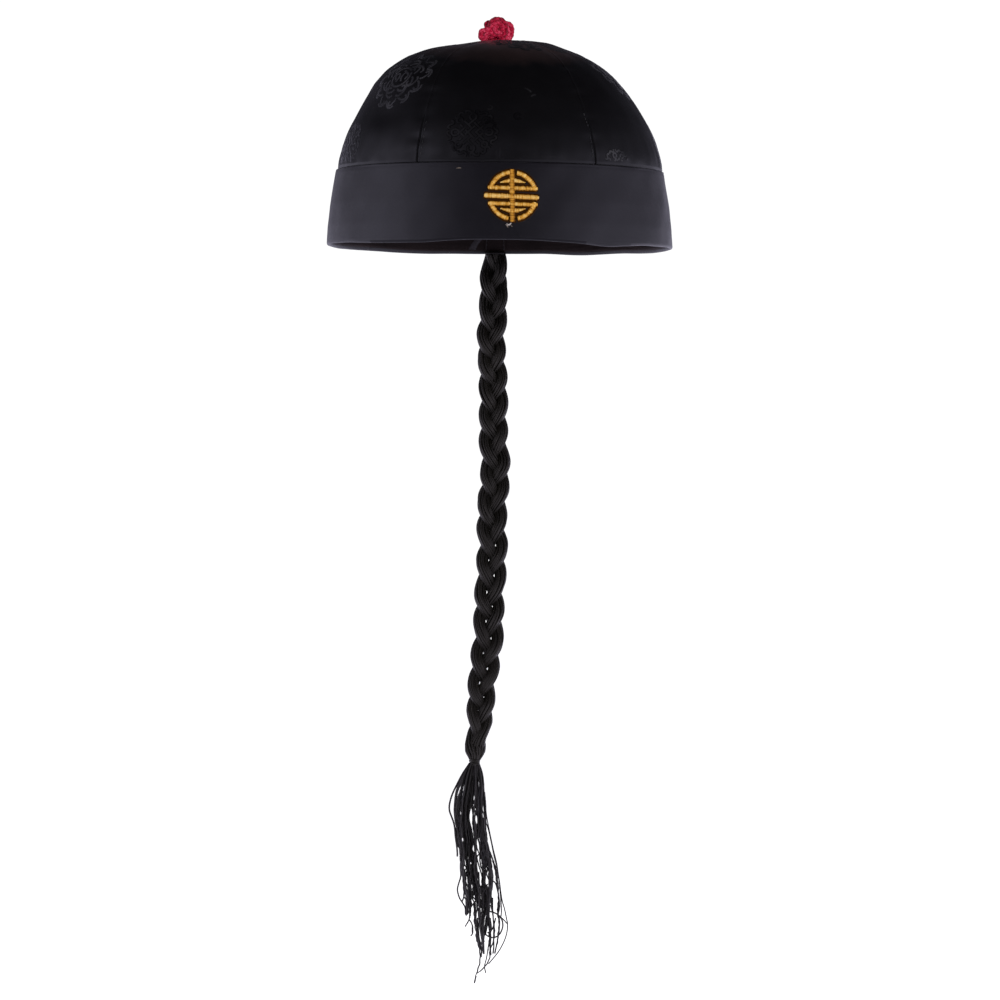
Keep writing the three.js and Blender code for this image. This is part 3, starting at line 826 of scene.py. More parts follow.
def band_out(angle, z):
    """How far the band's cloth stands out of its plain cone, in mm."""
    low = np.clip(z / 41, 0, 1)
    a = np.mod(np.asarray(angle) + np.pi, TAU) - np.pi
    # integer waves, so that the cloth meets itself at the back
    sway = 0.16 * np.sin(3 * a + 0.8) + 0.12 * np.sin(5 * a + 2.1) + 0.08 * np.sin(8 * a + 0.3)
    dent = 0.10 * BAND_DENT(a * 93, z) * np.clip((np.pi - np.abs(a)) * 6, 0, 1)
    seam = -0.7 * np.exp(-(((np.pi - np.abs(a)) * 93 / 0.55) ** 2)) - 0.25 * np.exp(-(((np.pi - np.abs(a)) * 93 / 3) ** 2))
    return sway * (1 - 0.5 * low) + dent + seam


# The rim is no even circle: how far it hangs down (mm) at these angles round the band.
RIM = np.array(
    [
        (-180, 0.10), (-171, 0.38), (-160, 0.98), (-152, 0.88), (-144, 0.77), (-138, 0.42), (-131, 0.34), (-124, 0.62),
        (-113, 0.88), (-98, 0.75), (-80, 0.45), (-66, 0.75), (-58, 1.45), (-48, 1.70),
        (-38, 1.75), (-30, 1.75), (-23, 1.05), (-14, 0.60), (0, 0.55), (10, 0.70), (18, 1.10), (24, 1.55),
        (30, 2.45), (35, 2.60), (40, 1.95), (46, 1.35), (52, 0.65), (60, 0.45), (70, 0.25), (84, 0.35),
        (100, 0.60), (111, 0.85), (119, 0.42), (127, -0.06), (134, 0.05), (139, 0.25), (146, 0.62), (151, 0.50),
        (155, 0.08), (160, -0.42), (165, -0.36), (170, -0.22), (180, 0.10),
    ],
    float,
)
_rim_a = np.linspace(-180, 180, 721)
_rim_d = np.interp(_rim_a, RIM[:, 0], RIM[:, 1])
_k = np.hanning(19)
_rim_d = np.convolve(np.concatenate([_rim_d[-10:-1], _rim_d, _rim_d[1:10]]), _k / _k.sum(), "valid")


def rim_drop(angle, z):
    a = np.degrees(np.mod(np.asarray(angle) + np.pi, TAU) - np.pi)
    return np.interp(a, _rim_a, _rim_d) * np.exp(-np.clip(z, 0, None) / 8.0)


def band_point(angle, r, z):
    z = z - rim_drop(angle, z)
    return hang(np.stack(np.broadcast_arrays(r * np.sin(angle), -r * np.cos(angle), z), -1))


def ring_angles(extra):
    a = np.concatenate([np.linspace(-np.pi, np.pi, 361)[:-1], np.radians(extra)])
    return np.unique(np.round(a, 6))


angles = ring_angles([180 - x for x in (0.1, 0.25, 0.45, 0.7)] + [-180 + x for x in (0.1, 0.25, 0.45, 0.7)])
faces_z = np.concatenate([[40.9, 40.2], np.arange(38.5, 3, -1.45), [2.6, 1.9]])
profile = [(90.35, 40.6, 0), (90.45, 41.35, 0), (90.72, 41.62, 0.3), (91.0, 41.45, 0.6)]
profile += [(float(np.interp(z, BAND_FACE[:, 0], BAND_FACE[:, 1])) + (0.0 if z < 40.5 else 0.02), z, 1) for z in faces_z]
profile += [
    (95.82, 1.15, 1), (95.66, 0.5, 0.9), (95.3, 0.08, 0.8), (94.85, -0.06, 0.8), (94.4, 0.1, 0.8),
    (94.05, 0.55, 0.8), (93.85, 1.3, 0.8), (93.72, 2.4, 0.8), (93.75, 3.6, 0.8),
    (93.6, 10, 0.8), (92.6, 21, 0.8), (91.3, 31, 0.8), (90.7, 35.3, 0.5), (90.38, 38, 0),
]
pr = np.array(profile)
A, R = np.meshgrid(angles, pr[:, 0])
Z, W = pr[:, 1][:, None] + 0 * A, pr[:, 2][:, None] + 0 * A
R = R + W * band_out(A, Z)
# the rim is not quite even where it is turned
rim = np.exp(-((Z / 3.0) ** 2))
Z = Z + rim * (0.12 * np.sin(4 * A + 1.0) + 0.10 * np.sin(7 * A + 2.4) + 0.05 * np.sin(17 * A))
shape = Shape()
down = np.concatenate([[0], np.cumsum(np.hypot(np.diff(pr[:, 0]), np.diff(pr[:, 1])))])[:, None] + 0 * A
shape.grid(band_point(A, R, Z), np.stack([A * 93, down], -1), 0, close_i=True, close_j=True, flip=True)
# the fold of the rim is coloured lighter, least at the front and most round the sides and back: partly rubbed wear,
# partly painted reflection of the pale table below
fold = [i for i in range(len(pr)) if pr[i, 1] < 1.2 and pr[i, 0] > 94.6]
for i in fold:
    for j in range(A.shape[1]):
        at = math.degrees(A[0, j])
        shape.m[i * A.shape[1] + j] = 3 if -52 < at < 24 else 2 if -84 < at < 44 else 1
shape.make("band_shell", [BAND, FOLD_WORN_AND_LIT, FOLD_LESS_WORN_AND_LIT, FOLD_LEAST_WORN_AND_LIT], ["band"])

# Facing inside the band: a bias strip that lies in small creases, its ends lapped
# aslant just left of the plait.
FOLD = waves(31, 12, 25, 80, 2)


def facing_face(angle, z):
    a = np.mod(np.asarray(angle) + np.pi, TAU) - np.pi
    creased = 0.28 + 0.72 * np.exp(-(((np.abs(a) - 2.25) / 0.42) ** 2)) * (a > 0)
    drift = 2.2 * np.sin(2 * a + 0.5) + 1.3 * np.sin(5 * a)
    lines = np.sin(TAU * (z + drift) / 2.3) * 0.6 + np.sin(TAU * (z - 0.7 * drift) / 3.9 + 1.0) * 0.5
    low = np.exp(-(((z - 4) / 6) ** 2))
    out = 0.15 * creased * lines * low + 0.12 * FOLD(a * 92, z) * np.clip((np.pi - np.abs(a)) * 5 + 0.2, 0, 1)
    return np.interp(z, FACING_FACE[:, 0], FACING_FACE[:, 1]) - 0.25 - out


fa = np.linspace(-np.pi, np.pi, 481)[:-1]
fz = np.concatenate([[1.5, 1.9, 2.4], np.arange(3.0, 13, 0.42), np.arange(13.6, 34.5, 1.6), [34.9, 35.2]])
A, Z = np.meshgrid(fa, fz)
edge = np.zeros(len(fz))
edge[:3] = (0.55, 0.2, 0.05)
edge[-2:] = (0.08, 0.35)
R = facing_face(A, Z) + edge[:, None]
uv = np.stack([A * 92, Z], -1)
shape = Shape()
nc, nr = A.shape[1], A.shape[0]
inner = shape.grid(band_point(A, R, Z), uv, 0, close_j=True)
back = shape.grid(band_point(A, np.interp(Z, FACING_FACE[:, 0], FACING_FACE[:, 1]) + 0.42, Z), uv, 0, close_j=True, flip=True)
for row in (0, nr - 1):
    o = row * nc
    f = [[inner + o + j, inner + o + (j + 1) % nc, back + o + (j + 1) % nc, back + o + j] for j in range(nc)]
    shape.faces([q[::-1] for q in f] if row == 0 else f, 0)
# the lapped end, a raised narrow fold
lap_v = np.linspace(2.2, 34.0, 60)
lap_x = -10.2 + 0.62 * (lap_v - 0.8) + 0.25 * np.sin(lap_v * 0.9)
lap_a = np.pi - lap_x / 91.5
across = np.array([-2.2, -1.5, -0.6, 0.5, 1.4, 2.2])
lift = np.array([-0.05, 0.16, 0.30, 0.30, 0.16, -0.05])
LA = lap_a[:, None] - across[None] / 91.5
LZ = lap_v[:, None] + 0 * LA
shape.grid(band_point(LA, facing_face(LA, LZ) - lift[None], LZ), np.stack([LA * 92 + 40, LZ], -1), 1)
# painted highlight: the lapped end is coloured lighter than the rest of the facing, for the light line along its raised
# fold
shape.make(
    "band_facing",
    [FACING, woven("lapped end", (0.028, 0.0230, 0.0250), (0.055, 0.047, 0.049), 0.60, 0.45, 0.25, 0.9)],
    ["band"],
)

# Slip stitches that hold the facing up at the rim's inside.
shape = Shape()
rng = np.random.RandomState(8)
a = -math.pi + 0.01
while a < math.pi - 0.02:
    l = (1.5 + 0.8 * rng.rand()) / 92
    at = np.linspace(a, a + l, 5)
    z = 34.2 + 0.25 * rng.randn() + np.linspace(0, 0.5, 5)
    shape.tube(band_point(at, facing_face(at, z) - 0.1 - 0.1 * np.sin(np.linspace(0, np.pi, 5)), z), 0.14, 5, 0, rng.rand() * 0.6, up=(0, 0, 1))
    a += l + (4.5 + 1.5 * rng.rand()) / 92
shape.make("facing_stitches", [STITCH], [])


# ------------------------------------------------------------------ roundel
ROUNDEL_Z = 23.45


def on_band(u, v, h):
    u, v, h = np.broadcast_arrays(*[np.asarray(x, float) for x in (u, v, h)])
    z = ROUNDEL_Z + v
    r = np.interp(z, BAND_FACE[:, 0], BAND_FACE[:, 1])
    a = u / r
    return band_point(a, r + np.maximum(band_out(a, z), 0) * 0.9 + 0.12 + h, z)


shape = Shape()
rng = np.random.RandomState(3)


def satin_stitches(left, right, rise, shade, slant=0.0, pitch=0.40, bright_right=0.0):
    """Threads laid side by side over padding from one edge of a bar to the other."""
    left, right = evenly(left, 0.25), evenly(right, 0.25)
    n = max(3, int(round(max(len(left), len(right)) * 0.25 / pitch)))
    at = np.linspace(0, 1, n)

    def edge(line, t):
        x = np.linspace(0, 1, len(line))
        return np.array([np.interp(t, x, line[:, 0]), np.interp(t, x, line[:, 1])])

    for i, t in enumerate(at):
        a = edge(left, np.clip(t + slant + 0.1 * rng.randn() / n, 0, 1))
        b = edge(right, np.clip(t - slant + 0.1 * rng.randn() / n, 0, 1))
        a = a + (a - b) / max(np.linalg.norm(a - b), 0.1) * rng.randn() * 0.09
        b = b + (b - a) / max(np.linalg.norm(a - b), 0.1) * rng.randn() * 0.09
        w = np.linspace(0, 1, 9)
        h = rise * np.clip(1 - np.abs(2 * w - 1) ** 3.2, 0, 1) ** 0.55
        h = h * (1 + 0.05 * rng.randn()) - 0.05
        line = a[None] * (1 - w)[:, None] + b[None] * w[:, None]
        p = on_band(line[:, 0], line[:, 1], h)
        # painted shade and highlight: each stitch is darkened towards its edges, where it dives into the cloth, and
        # lightened along its crest; a stitch can also be painted lighter towards its right end
        edge_shade = 0.42 * np.abs(2 * w - 1) ** 4
        tone = np.clip(shade + 0.10 * rng.randn() + 0.08 * math.sin(i * 0.7) - edge_shade + 0.16 * (1 - np.abs(2 * w - 1)) + bright_right * (w - 0.5), 0.0, 0.98)
        shape.tube(p, 0.235, 5, 0, tone, up=(0, 0, 1) if abs(a[0] - b[0]) > abs(a[1] - b[1]) else (1, 0, 0), ends=False)


def padding(left, right, rise):
    """The stuffed ground under the stitches, coloured dark gold: painted shade in the gaps between them."""
    left, right = evenly(left, 0.8), evenly(right, 0.8)
    n = max(len(left), len(right))
    x = np.linspace(0, 1, n)
    L = np.stack([np.interp(x, np.linspace(0, 1, len(left)), left[:, k]) for k in range(2)], -1)
    R_ = np.stack([np.interp(x, np.linspace(0, 1, len(right)), right[:, k]) for k in range(2)], -1)
    w = np.linspace(0, 1, 7)
    P = L[:, None] * (1 - w)[None, :, None] + R_[:, None] * w[None, :, None]
    h = (rise - 0.14) * np.clip(1 - np.abs(2 * w - 1) ** 3.2, 0, 1) ** 0.55 - 0.08
    shape.grid(on_band(P[..., 0], P[..., 1], h[None]), None, 0, 0.12)


def edge_shadow_strip(left, right):
    """A dark brown strip laid flat on the band round each bar, before the gold is worked: painted shadow where the bars
    meet the cloth.
    """
    left, right = evenly(left, 0.6), evenly(right, 0.6)
    n = max(len(left), len(right))
    x = np.linspace(0, 1, n)
    L = np.stack([np.interp(x, np.linspace(0, 1, len(left)), left[:, k]) for k in range(2)], -1)
    R_ = np.stack([np.interp(x, np.linspace(0, 1, len(right)), right[:, k]) for k in range(2)], -1)
    d = L - R_
    d /= np.maximum(np.linalg.norm(d, axis=1, keepdims=True), 1e-6)
    L, R_ = L + d * 1.05, R_ - d * 1.05
    t0, t1 = (L[0] + R_[0] - L[1] - R_[1]), (L[-1] + R_[-1] - L[-2] - R_[-2])
    t0, t1 = t0 / max(np.linalg.norm(t0), 1e-6) * 0.8, t1 / max(np.linalg.norm(t1), 1e-6) * 0.8
    L = np.concatenate([[L[0] + t0], L, [L[-1] + t1]])
    R_ = np.concatenate([[R_[0] + t0], R_, [R_[-1] + t1]])
    w = np.array([0, 0.04, 0.5, 0.96, 1])
    P = L[:, None] * (1 - w)[None, :, None] + R_[:, None] * w[None, :, None]
    h = np.array([-0.16, -0.05, -0.03, -0.05, -0.16])[None] + 0 * P[..., 0]
    h[0] = h[-1] = -0.16
    shape.grid(on_band(P[..., 0], P[..., 1], h), P, 1, 0.5)


def bar(u0, v0, u1, v1, width, rise, shade, swell=0.0, **kw):
    d = np.array([u1 - u0, v1 - v0])
    l = np.linalg.norm(d)
    d /= l
    n = np.array([-d[1], d[0]])
    t = np.linspace(0, l, 40)
    w = width / 2 + swell * np.sin(t * 1.1) + 0.05 * np.sin(t * 2.7 + 1)
    w = w * np.clip(0.72 + np.minimum(t, l - t) / 1.2, 0, 1)
    c = np.array([u0, v0])[None] + t[:, None] * d[None]
    left, right = c + n[None] * w[:, None], c - n[None] * w[:, None]
    edge_shadow_strip(left, right)
    padding(left, right, rise)
    satin_stitches(left, right, rise, shade, **kw)


def arc(radius, a0, a1, width, rise, shade, **kw):
    t = np.radians(np.linspace(a0, a1, 40))
    w = width / 2 + 0.06 * np.sin(t * 9)
    outer = np.column_stack([(radius + w) * np.cos(t), (radius + w) * np.sin(t)])
    inner = np.column_stack([(radius - w) * np.cos(t), (radius - w) * np.sin(t)])
    edge_shadow_strip(outer, inner)
    padding(outer, inner, rise)
    satin_stitches(outer, inner, rise, shade, **kw)


def leaf(half, edge, height, rise, shade):
    u = np.linspace(-half, half, 40)
    swell = np.maximum(0.12, 1 - (u / half) ** 2)
    flat, bowed = np.column_stack([u, edge + 0 * u]), np.column_stack([u, edge + height * swell])
    edge_shadow_strip(bowed, flat)
    padding(bowed, flat, rise)
    satin_stitches(bowed, flat, rise, shade)


bar(-13.2, 4.30, 13.2, 3.85, 2.05, 0.95, 0.52)
bar(-13.1, -4.30, 13.1, -4.75, 1.95, 0.95, 0.56)
bar(-15.2, 0.0, 13.9, -0.95, 2.35, 1.0, 0.66)
arc(12.6, 163, 96, 2.15, 0.9, 0.52)
arc(12.5, 78.5, 17, 2.25, 0.9, 0.6)
arc(12.6, 197, 257.5, 2.05, 0.9, 0.58)
arc(12.5, 282, 343, 2.15, 0.9, 0.56)
leaf(6.6, 7.0, 2.2, 0.8, 0.66)
leaf(6.6, -7.0, -2.2, 0.8, 0.6)
# the staff: painted light, a lower shade for its darker look and a lighter right side where its threads catch the light
bar(-0.35, 14.1, -0.35, -14.1, 2.75, 1.3, 0.34, bright_right=0.26)
# painted shadow round the bars
EDGE_SHADOW = thread(
    "dark brown painted edge shadow",
    [(0.1, (0.020, 0.0066, 0.0002)), (0.5, (0.034, 0.0118, 0.0003)), (0.9, (0.050, 0.0185, 0.0006))],
    0.65, 0.07, 0.0, (1, 0.85, 0.6), 4.0, 0.3,
)
shape.make("roundel", [GOLD, EDGE_SHADOW], ["emblem"])

# Ends of the embroidery thread under the roundel, and a fleck of lint on the band.
shape = Shape()
for pts, r, tone in (
    ([(-3.4, -15.1, 0.3), (-2.6, -15.6, 0.8), (-1.6, -15.2, 0.9), (-0.9, -14.7, 0.5)], 0.22, 0.75),
    ([(-3.9, -15.6, 0.4), (-3.0, -16.0, 0.7), (-2.1, -15.9, 0.6), (-1.3, -15.4, 0.5)], 0.2, 0.6),
    ([(-2.9, -15.4, 0.4), (-3.2, -16.4, 0.6), (-2.6, -17.1, 0.3)], 0.14, 0.4),
    ([(-1.5, -15.5, 0.4), (-1.0, -16.3, 0.5), (-0.4, -16.6, 0.3)], 0.13, 0.35),
):
    p = through(pts, 6)
    shape.tube(on_band(p[:, 0], p[:, 1], p[:, 2]), r, 6, 0, tone)
shape.make("thread_ends", [PALE], [])

shape = Shape()
lint = seen_at([456.2, 457.6, 459.2], [166.9, 166.3, 166.2], -89.0)
a = np.arctan2(lint[:, 0], -lint[:, 1])
for (pts, r) in (
    ([(-1.3, -0.25), (-0.5, 0.1), (0.4, 0.15), (1.3, 0.0)], 0.17),
    ([(-0.9, 0.1), (0.1, -0.15), (0.9, 0.25)], 0.12),
):
    p = through(pts, 6)
    z = 38.3 + p[:, 1]
    ang = float(a.mean()) + p[:, 0] / 91.5
    rr = np.interp(z, BAND_FACE[:, 0], BAND_FACE[:, 1]) + band_out(ang, z) + 0.12
    shape.tube(band_point(ang, rr, z), r * 0.8, 5, 0, 0.2, up=(0, 0, 1))
shape.make("lint", [PALE], [])

# ------------------------------------------------------------------- button
shape = Shape()


def plaited(k=5, pitch=3.4, depth=0.17):
    """Relief of a round plaited cord: two sets of strands wound against each other."""

    def ripple(length, ang):
        one = np.abs(np.sin(0.5 * (k * ang + TAU * length / pitch)))
        two = np.abs(np.sin(0.5 * (k * ang - TAU * length / pitch)))
        return depth * (one * two * 2.2 - 0.9)

    return ripple


def cord_line(points, radius, closed=False, tone=0.5, ends=True, step=0.26):
    p = through(points, 12, closed)
    if closed:
        p = np.concatenate([p, p[:1]])
    p = evenly(p, step)
    shape.tube(p, radius, 20, 0, tone, up=None, ends=ends, ripple=plaited())


def turks_head(centre, half, leads, bights, cord, tilt, spin, tone):
    t = np.linspace(0, TAU, 260)
    th, w = leads * t, bights * t
    lat = 1.02 * np.cos(w)
    rr = 1 + 0.16 * np.sin(2 * w)
    p = np.column_stack([rr * np.cos(lat) * np.cos(th), rr * np.cos(lat) * np.sin(th), rr * np.sin(lat)])
    # the axis turned to face the front, then tilted
    a, b = math.radians(90 + tilt), math.radians(spin)
    rx = np.array([[1, 0, 0], [0, math.cos(a), -math.sin(a)], [0, math.sin(a), math.cos(a)]])
    rz = np.array([[math.cos(b), -math.sin(b), 0], [math.sin(b), math.cos(b), 0], [0, 0, 1]])
    p = (p @ rx.T @ rz.T) * np.array(half)[None] + np.array(centre)[None]
    shape.tube(evenly(p, 0.26), cord, 20, 0, tone, up=None, ends=False, ripple=plaited())


turks_head((-1.1, 0.2, 120.6), (3.7, 3.8, 4.7), 5, 4, 1.25, 14, -8, 0.42)


def front_cord(points, radius, tone):
    """A cord charted in the view from the front: pixel across, pixel down, mm of depth."""
    q = np.array(points, float)
    cord_line(seen_at(q[:, 0], q[:, 1], q[:, 2]), radius, tone=tone)


# over the top and down the right side
front_cord([(490.6, 31.5, 0.5), (489.7, 25.5, -1.2), (492.6, 20.9, -1.8), (497.6, 19.4, -2.0), (502.4, 20.9, -2.2), (505.2, 25.2, -2.6), (505.4, 31.0, -3.0), (502.6, 35.6, -3.6), (498.6, 36.9, -3.6)], 1.45, 0.40)
# the turn in the middle
front_cord([(493.0, 34.6, -2.6), (491.4, 29.6, -3.0), (492.6, 25.4, -3.6), (496.8, 23.4, -4.2), (500.9, 24.8, -4.4), (502.2, 28.8, -4.6), (499.9, 32.2, -4.8), (496.2, 31.8, -5.0), (495.2, 28.8, -5.0), (497.4, 27.0, -4.6)], 1.30, 0.60)
# the loop that lies out to the left round its small dark hole
front_cord([(494.0, 29.8, -3.0), (489.6, 29.9, -3.4), (485.2, 30.3, -3.0), (481.6, 31.8, -2.4), (480.8, 35.4, -1.8), (482.4, 38.6, -1.8), (485.4, 37.6, -2.6), (487.2, 34.2, -3.4), (490.4, 32.4, -3.8), (493.2, 33.6, -3.6)], 1.50, 0.62)
# the small ear over it
front_cord([(492.0, 27.4, 0.4), (487.4, 27.0, 0.4), (485.6, 24.7, 0.4), (487.4, 22.4, 0.8), (490.2, 22.9, 1.0), (492.6, 25.0, 0.8)], 0.98, 0.36)
# the loop seen edge-on at the right, with its second strand inside
front_cord([(503.4, 24.2, 0.6), (507.6, 23.6, -0.4), (511.0, 25.9, -0.8), (511.9, 31.0, -0.8), (511.0, 35.9, -0.6), (508.8, 39.4, -0.2), (505.6, 40.8, 0.6)], 1.30, 0.66)
front_cord([(505.6, 26.6, -1.4), (508.0, 29.6, -1.8), (508.2, 34.4, -1.8), (506.4, 38.6, -1.4), (503.6, 40.0, -1.0)], 1.05, 0.74)
# the turns that go down into the crown, round a dark hollow
front_cord([(489.8, 40.0, -1.2), (491.4, 36.8, -2.8), (495.2, 35.0, -3.8), (499.4, 35.8, -4.0), (501.8, 38.4, -3.4), (502.4, 41.4, -2.4)], 1.20, 0.50)
front_cord([(486.4, 40.6, -0.4), (490.6, 40.9, -1.8), (494.6, 40.9, -2.2)], 1.10, 0.45)
front_cord([(498.4, 40.9, -2.6), (503.0, 40.2, -2.4), (507.2, 40.6, -1.0)], 1.10, 0.55)
# the turns at the back
cord_line([(-4.4, 2.0, 117.4), (-2.2, 3.5, 116.2), (0.8, 3.6, 116.0), (3.4, 2.2, 117.0)], 1.25, tone=0.35)
cord_line([(-4.6, 2.6, 120.6), (-2.6, 4.4, 122.6), (0.8, 4.4, 122.4), (2.6, 3.6, 119.4), (0.4, 4.2, 117.6)], 1.25, tone=0.5)
# painted shade: a dark red filler in the knot's middle, so that no light shows through and its hollows read as shade
t = np.linspace(0, np.pi, 14)
ph = np.arange(20) / 20 * TAU
for (cx, cy, cz), (hx, hy, hz) in (((-1.1, 0.2, 119.9), (4.0, 4.0, 5.4)), ((-8.8, -1.2, 118.0), (1.7, 0.7, 2.2))):
    shadow_filler = np.stack(
        [
            cx + hx * np.sin(t)[:, None] * np.cos(ph)[None],
            cy + hy * np.sin(t)[:, None] * np.sin(ph)[None],
            cz + hz * np.cos(t)[:, None] + 0 * ph[None],
        ],
        -1,
    )
    shape.grid(shadow_filler, None, 0, 0.05, close_j=True)
shape.make("cord_button", [RED], ["top_knot"])

# -------------------------------------------------------------------- plait
PLAIT_Y = 92.0
PLAIT_ROWS = np.array(
    [
        (0.6, 3.6, 12.0, 7.8), (-0.6, 3.6, 12.6, 8.8), (-8, 3.9, 15.8, 10.6), (-14, 3.6, 17.6, 11.3), (-20, 2.65, 16.7, 11.6),
        (-26, 3.2, 17.4, 11.9), (-32, 3.15, 17.3, 12.0), (-38, 2.45, 17.2, 12.0), (-44, 2.1, 17.1, 12.0), (-50, 1.7, 17.0, 12.0),
        (-55, 1.85, 17.0, 12.0), (-60, 2.4, 17.0, 12.0), (-66, 2.4, 17.1, 12.0), (-73, 2.9, 17.2, 12.0), (-79, 3.1, 17.3, 12.0),
        (-90, 2.95, 17.4, 12.0), (-98, 3.0, 17.0, 12.0), (-110, 3.35, 17.7, 12.2), (-122, 4.1, 17.7, 12.2), (-139, 3.0, 18.0, 12.2),
        (-150, 2.05, 18.0, 12.2), (-166, 2.5, 18.0, 12.3), (-180, 1.8, 18.6, 12.4), (-198, 0.7, 18.3, 12.4), (-211, 0.4, 18.9, 12.4),
        (-221, -0.25, 18.5, 12.3), (-240, -2.7, 18.0, 12.0), (-249, -3.8, 17.2, 11.6), (-254, -4.15, 17.0, 11.4),
        (-261, -4.15, 16.8, 11.0), (-267, -4.75, 15.2, 10.4),
        (-271, -5.4, 12.8, 10.0), (-275, -6.4, 12.0, 9.8), (-280, -7.2, 13.2, 9.6), (-283.4, -7.5, 12.2, 9.2),
        (-286, -7.6, 9.8, 7.6), (-288, -7.8, 7.4, 6.4), (-289.5, -7.9, 6.2, 5.6),
    ]
)
# Where the lobes of the plait pinch: left notches at whole phases, right ones halfway.
PINCH = np.array(
    [
        (236, -1.5), (254, -1.0), (275, -0.5), (294, 0.1), (309, 0.55), (321.3, 1.0), (334, 1.5), (348, 2.0), (359, 2.45),
        (374.8, 3.0), (387.3, 3.5), (401.5, 4.0), (416, 4.5), (428.5, 5.0), (442, 5.5), (459, 6.0), (472.5, 6.5),
        (486, 7.0), (500.5, 7.5), (516, 8.0), (529.5, 8.5), (546, 9.0), (560.5, 9.5), (575, 10.0), (592.5, 10.5),
        (607, 11.0), (620.5, 11.5), (638.5, 12.0), (653.6, 12.5), (668, 13.0), (683, 13.5), (697.5, 14.0),
        (710, 14.5), (727, 15.0), (738, 15.4), (762, 16.2), (775, 16.6),
    ]
)
py = np.arange(252, 766, 1.0)
phase_y = np.interp(py, PINCH[:, 0], PINCH[:, 1])
kernel = np.hanning(13)
padded = np.concatenate([phase_y[:1] - (phase_y[1] - phase_y[0]) * np.arange(6, 0, -1), phase_y, phase_y[-1:] + (phase_y[-1] - phase_y[-2]) * np.arange(1, 7)])
phase_y = np.convolve(padded, kernel / kernel.sum(), "valid")
plait_z = seen_at(np.full(len(py), 490.0), py, PLAIT_Y)[:, 2]


def plait_rows(z):
    rows = PLAIT_ROWS[::-1]
    return [np.interp(z, rows[:, 0], rows[:, k]) for k in (1, 2, 3)]


STEP = 1.25
zs = np.arange(0.4, -289.0, -STEP)
phase = np.interp(-zs, -plait_z, phase_y)
smooth = through(np.column_stack([-PLAIT_ROWS[:, 0], PLAIT_ROWS[:, 1]]), 10)
mid_x = np.interp(-zs, smooth[:, 0], smooth[:, 1])
_, width, depth = plait_rows(zs)
# The lower half is plaited more loosely, so that pinholes open between its strands.
loose = 1 / (1 + np.exp((zs + 150) / 12.0)) / (1 + np.exp(-(zs + 260) / 2.5))
gather = np.clip((zs + 289) / 9.0, 0, 1) ** 0.7
# in the last turn before the tie the three strands lie together as one
merge = np.clip((zs + 287) / 20.0, 0, 1)
merge = merge * merge * (3 - 2 * merge)
start = np.clip((0.6 - zs) / 12, 0, 1)
swing = 0.285 * width * (0.75 + 0.25 * start) * (0.15 + 0.85 * merge) + 0.28 * loose
half_w = np.maximum(width / 2 - swing, 1.2) - 0.62 - 0.12 * loose
half_d = np.maximum(depth / 2 - 2.35 * gather * (0.3 + 0.7 * merge), 1.1) * 0.92 - 0.45
cross = 2.25 * gather * (0.6 + 0.4 * start) * (0.25 + 0.75 * merge)

shape = Shape()
rng = np.random.RandomState(17)
for k in range(3):
    theta = math.radians(90) + math.radians(120) * (phase + k)
    centre = np.column_stack([mid_x + swing * np.sin(theta), PLAIT_Y + cross * np.sin(2 * theta), zs])
    t = np.gradient(centre, axis=0)
    t /= np.linalg.norm(t, axis=1, keepdims=True)
    a = np.cross(t, np.array([0, 1.0, 0]))
    a /= np.linalg.norm(a, axis=1, keepdims=True)
    b = np.cross(a, t)
    # painted shade: a dark filler inside the strand, standing in for the shade between its cords
    ang = np.arange(10) / 10 * TAU
    strand_shadow_core = (
        centre[:, None]
        + a[:, None] * ((half_w * 0.86)[:, None] * np.cos(ang))[..., None]
        + b[:, None] * ((half_d * 0.86)[:, None] * np.sin(ang))[..., None]
    )
    shape.grid(strand_shadow_core, None, 0, 0.0, close_j=True)
    cords = 18
    for j in range(cords):
        base = TAU * (j + 0.25 * rng.randn() * 0.6) / cords
        wander = waves(100 + 31 * k + j, 4, 14, 60, 1)
        psi = base - 0.006 * zs * TAU / 1.9 + 0.055 * wander(zs)
        lift = 1.0 + 0.035 * wander(zs * 1.7 + 40)
        p = (
            centre
            + a * (half_w * lift * np.cos(psi))[:, None]
            + b * (half_d * lift * np.sin(psi))[:, None]
        )
        shape.tube(p, 0.60, 6, 0, np.clip(0.45 + 0.22 * rng.randn(), 0.05, 0.95), up=(0, 1, 0), ends=True)
# thread bound round the plait where it is sewn to its tab
turns = np.linspace(0, TAU * 2.2, 90)
tz = 0.7 - 0.9 * turns / turns[-1]
bx, bw, bd = plait_rows(tz)
shape.tube(
    np.column_stack([bx + (bw / 2 - 0.45) * np.cos(turns), PLAIT_Y + (bd / 2 - 0.45) * np.sin(turns), tz]),
    0.32, 6, 1, 0.35, up=(0, 0, 1),
)
BROWN = thread(
    "binding thread",
    [(0.1, (0.004, 0.003, 0.0025)), (0.5, (0.009, 0.0065, 0.005)), (0.9, (0.018, 0.013, 0.010))],
    0.5, 0.4, 0.03, (1, 1, 1), 4.0, 0.4,
)
plait = shape.make("plait", [BLACK, BROWN], ["braid"])

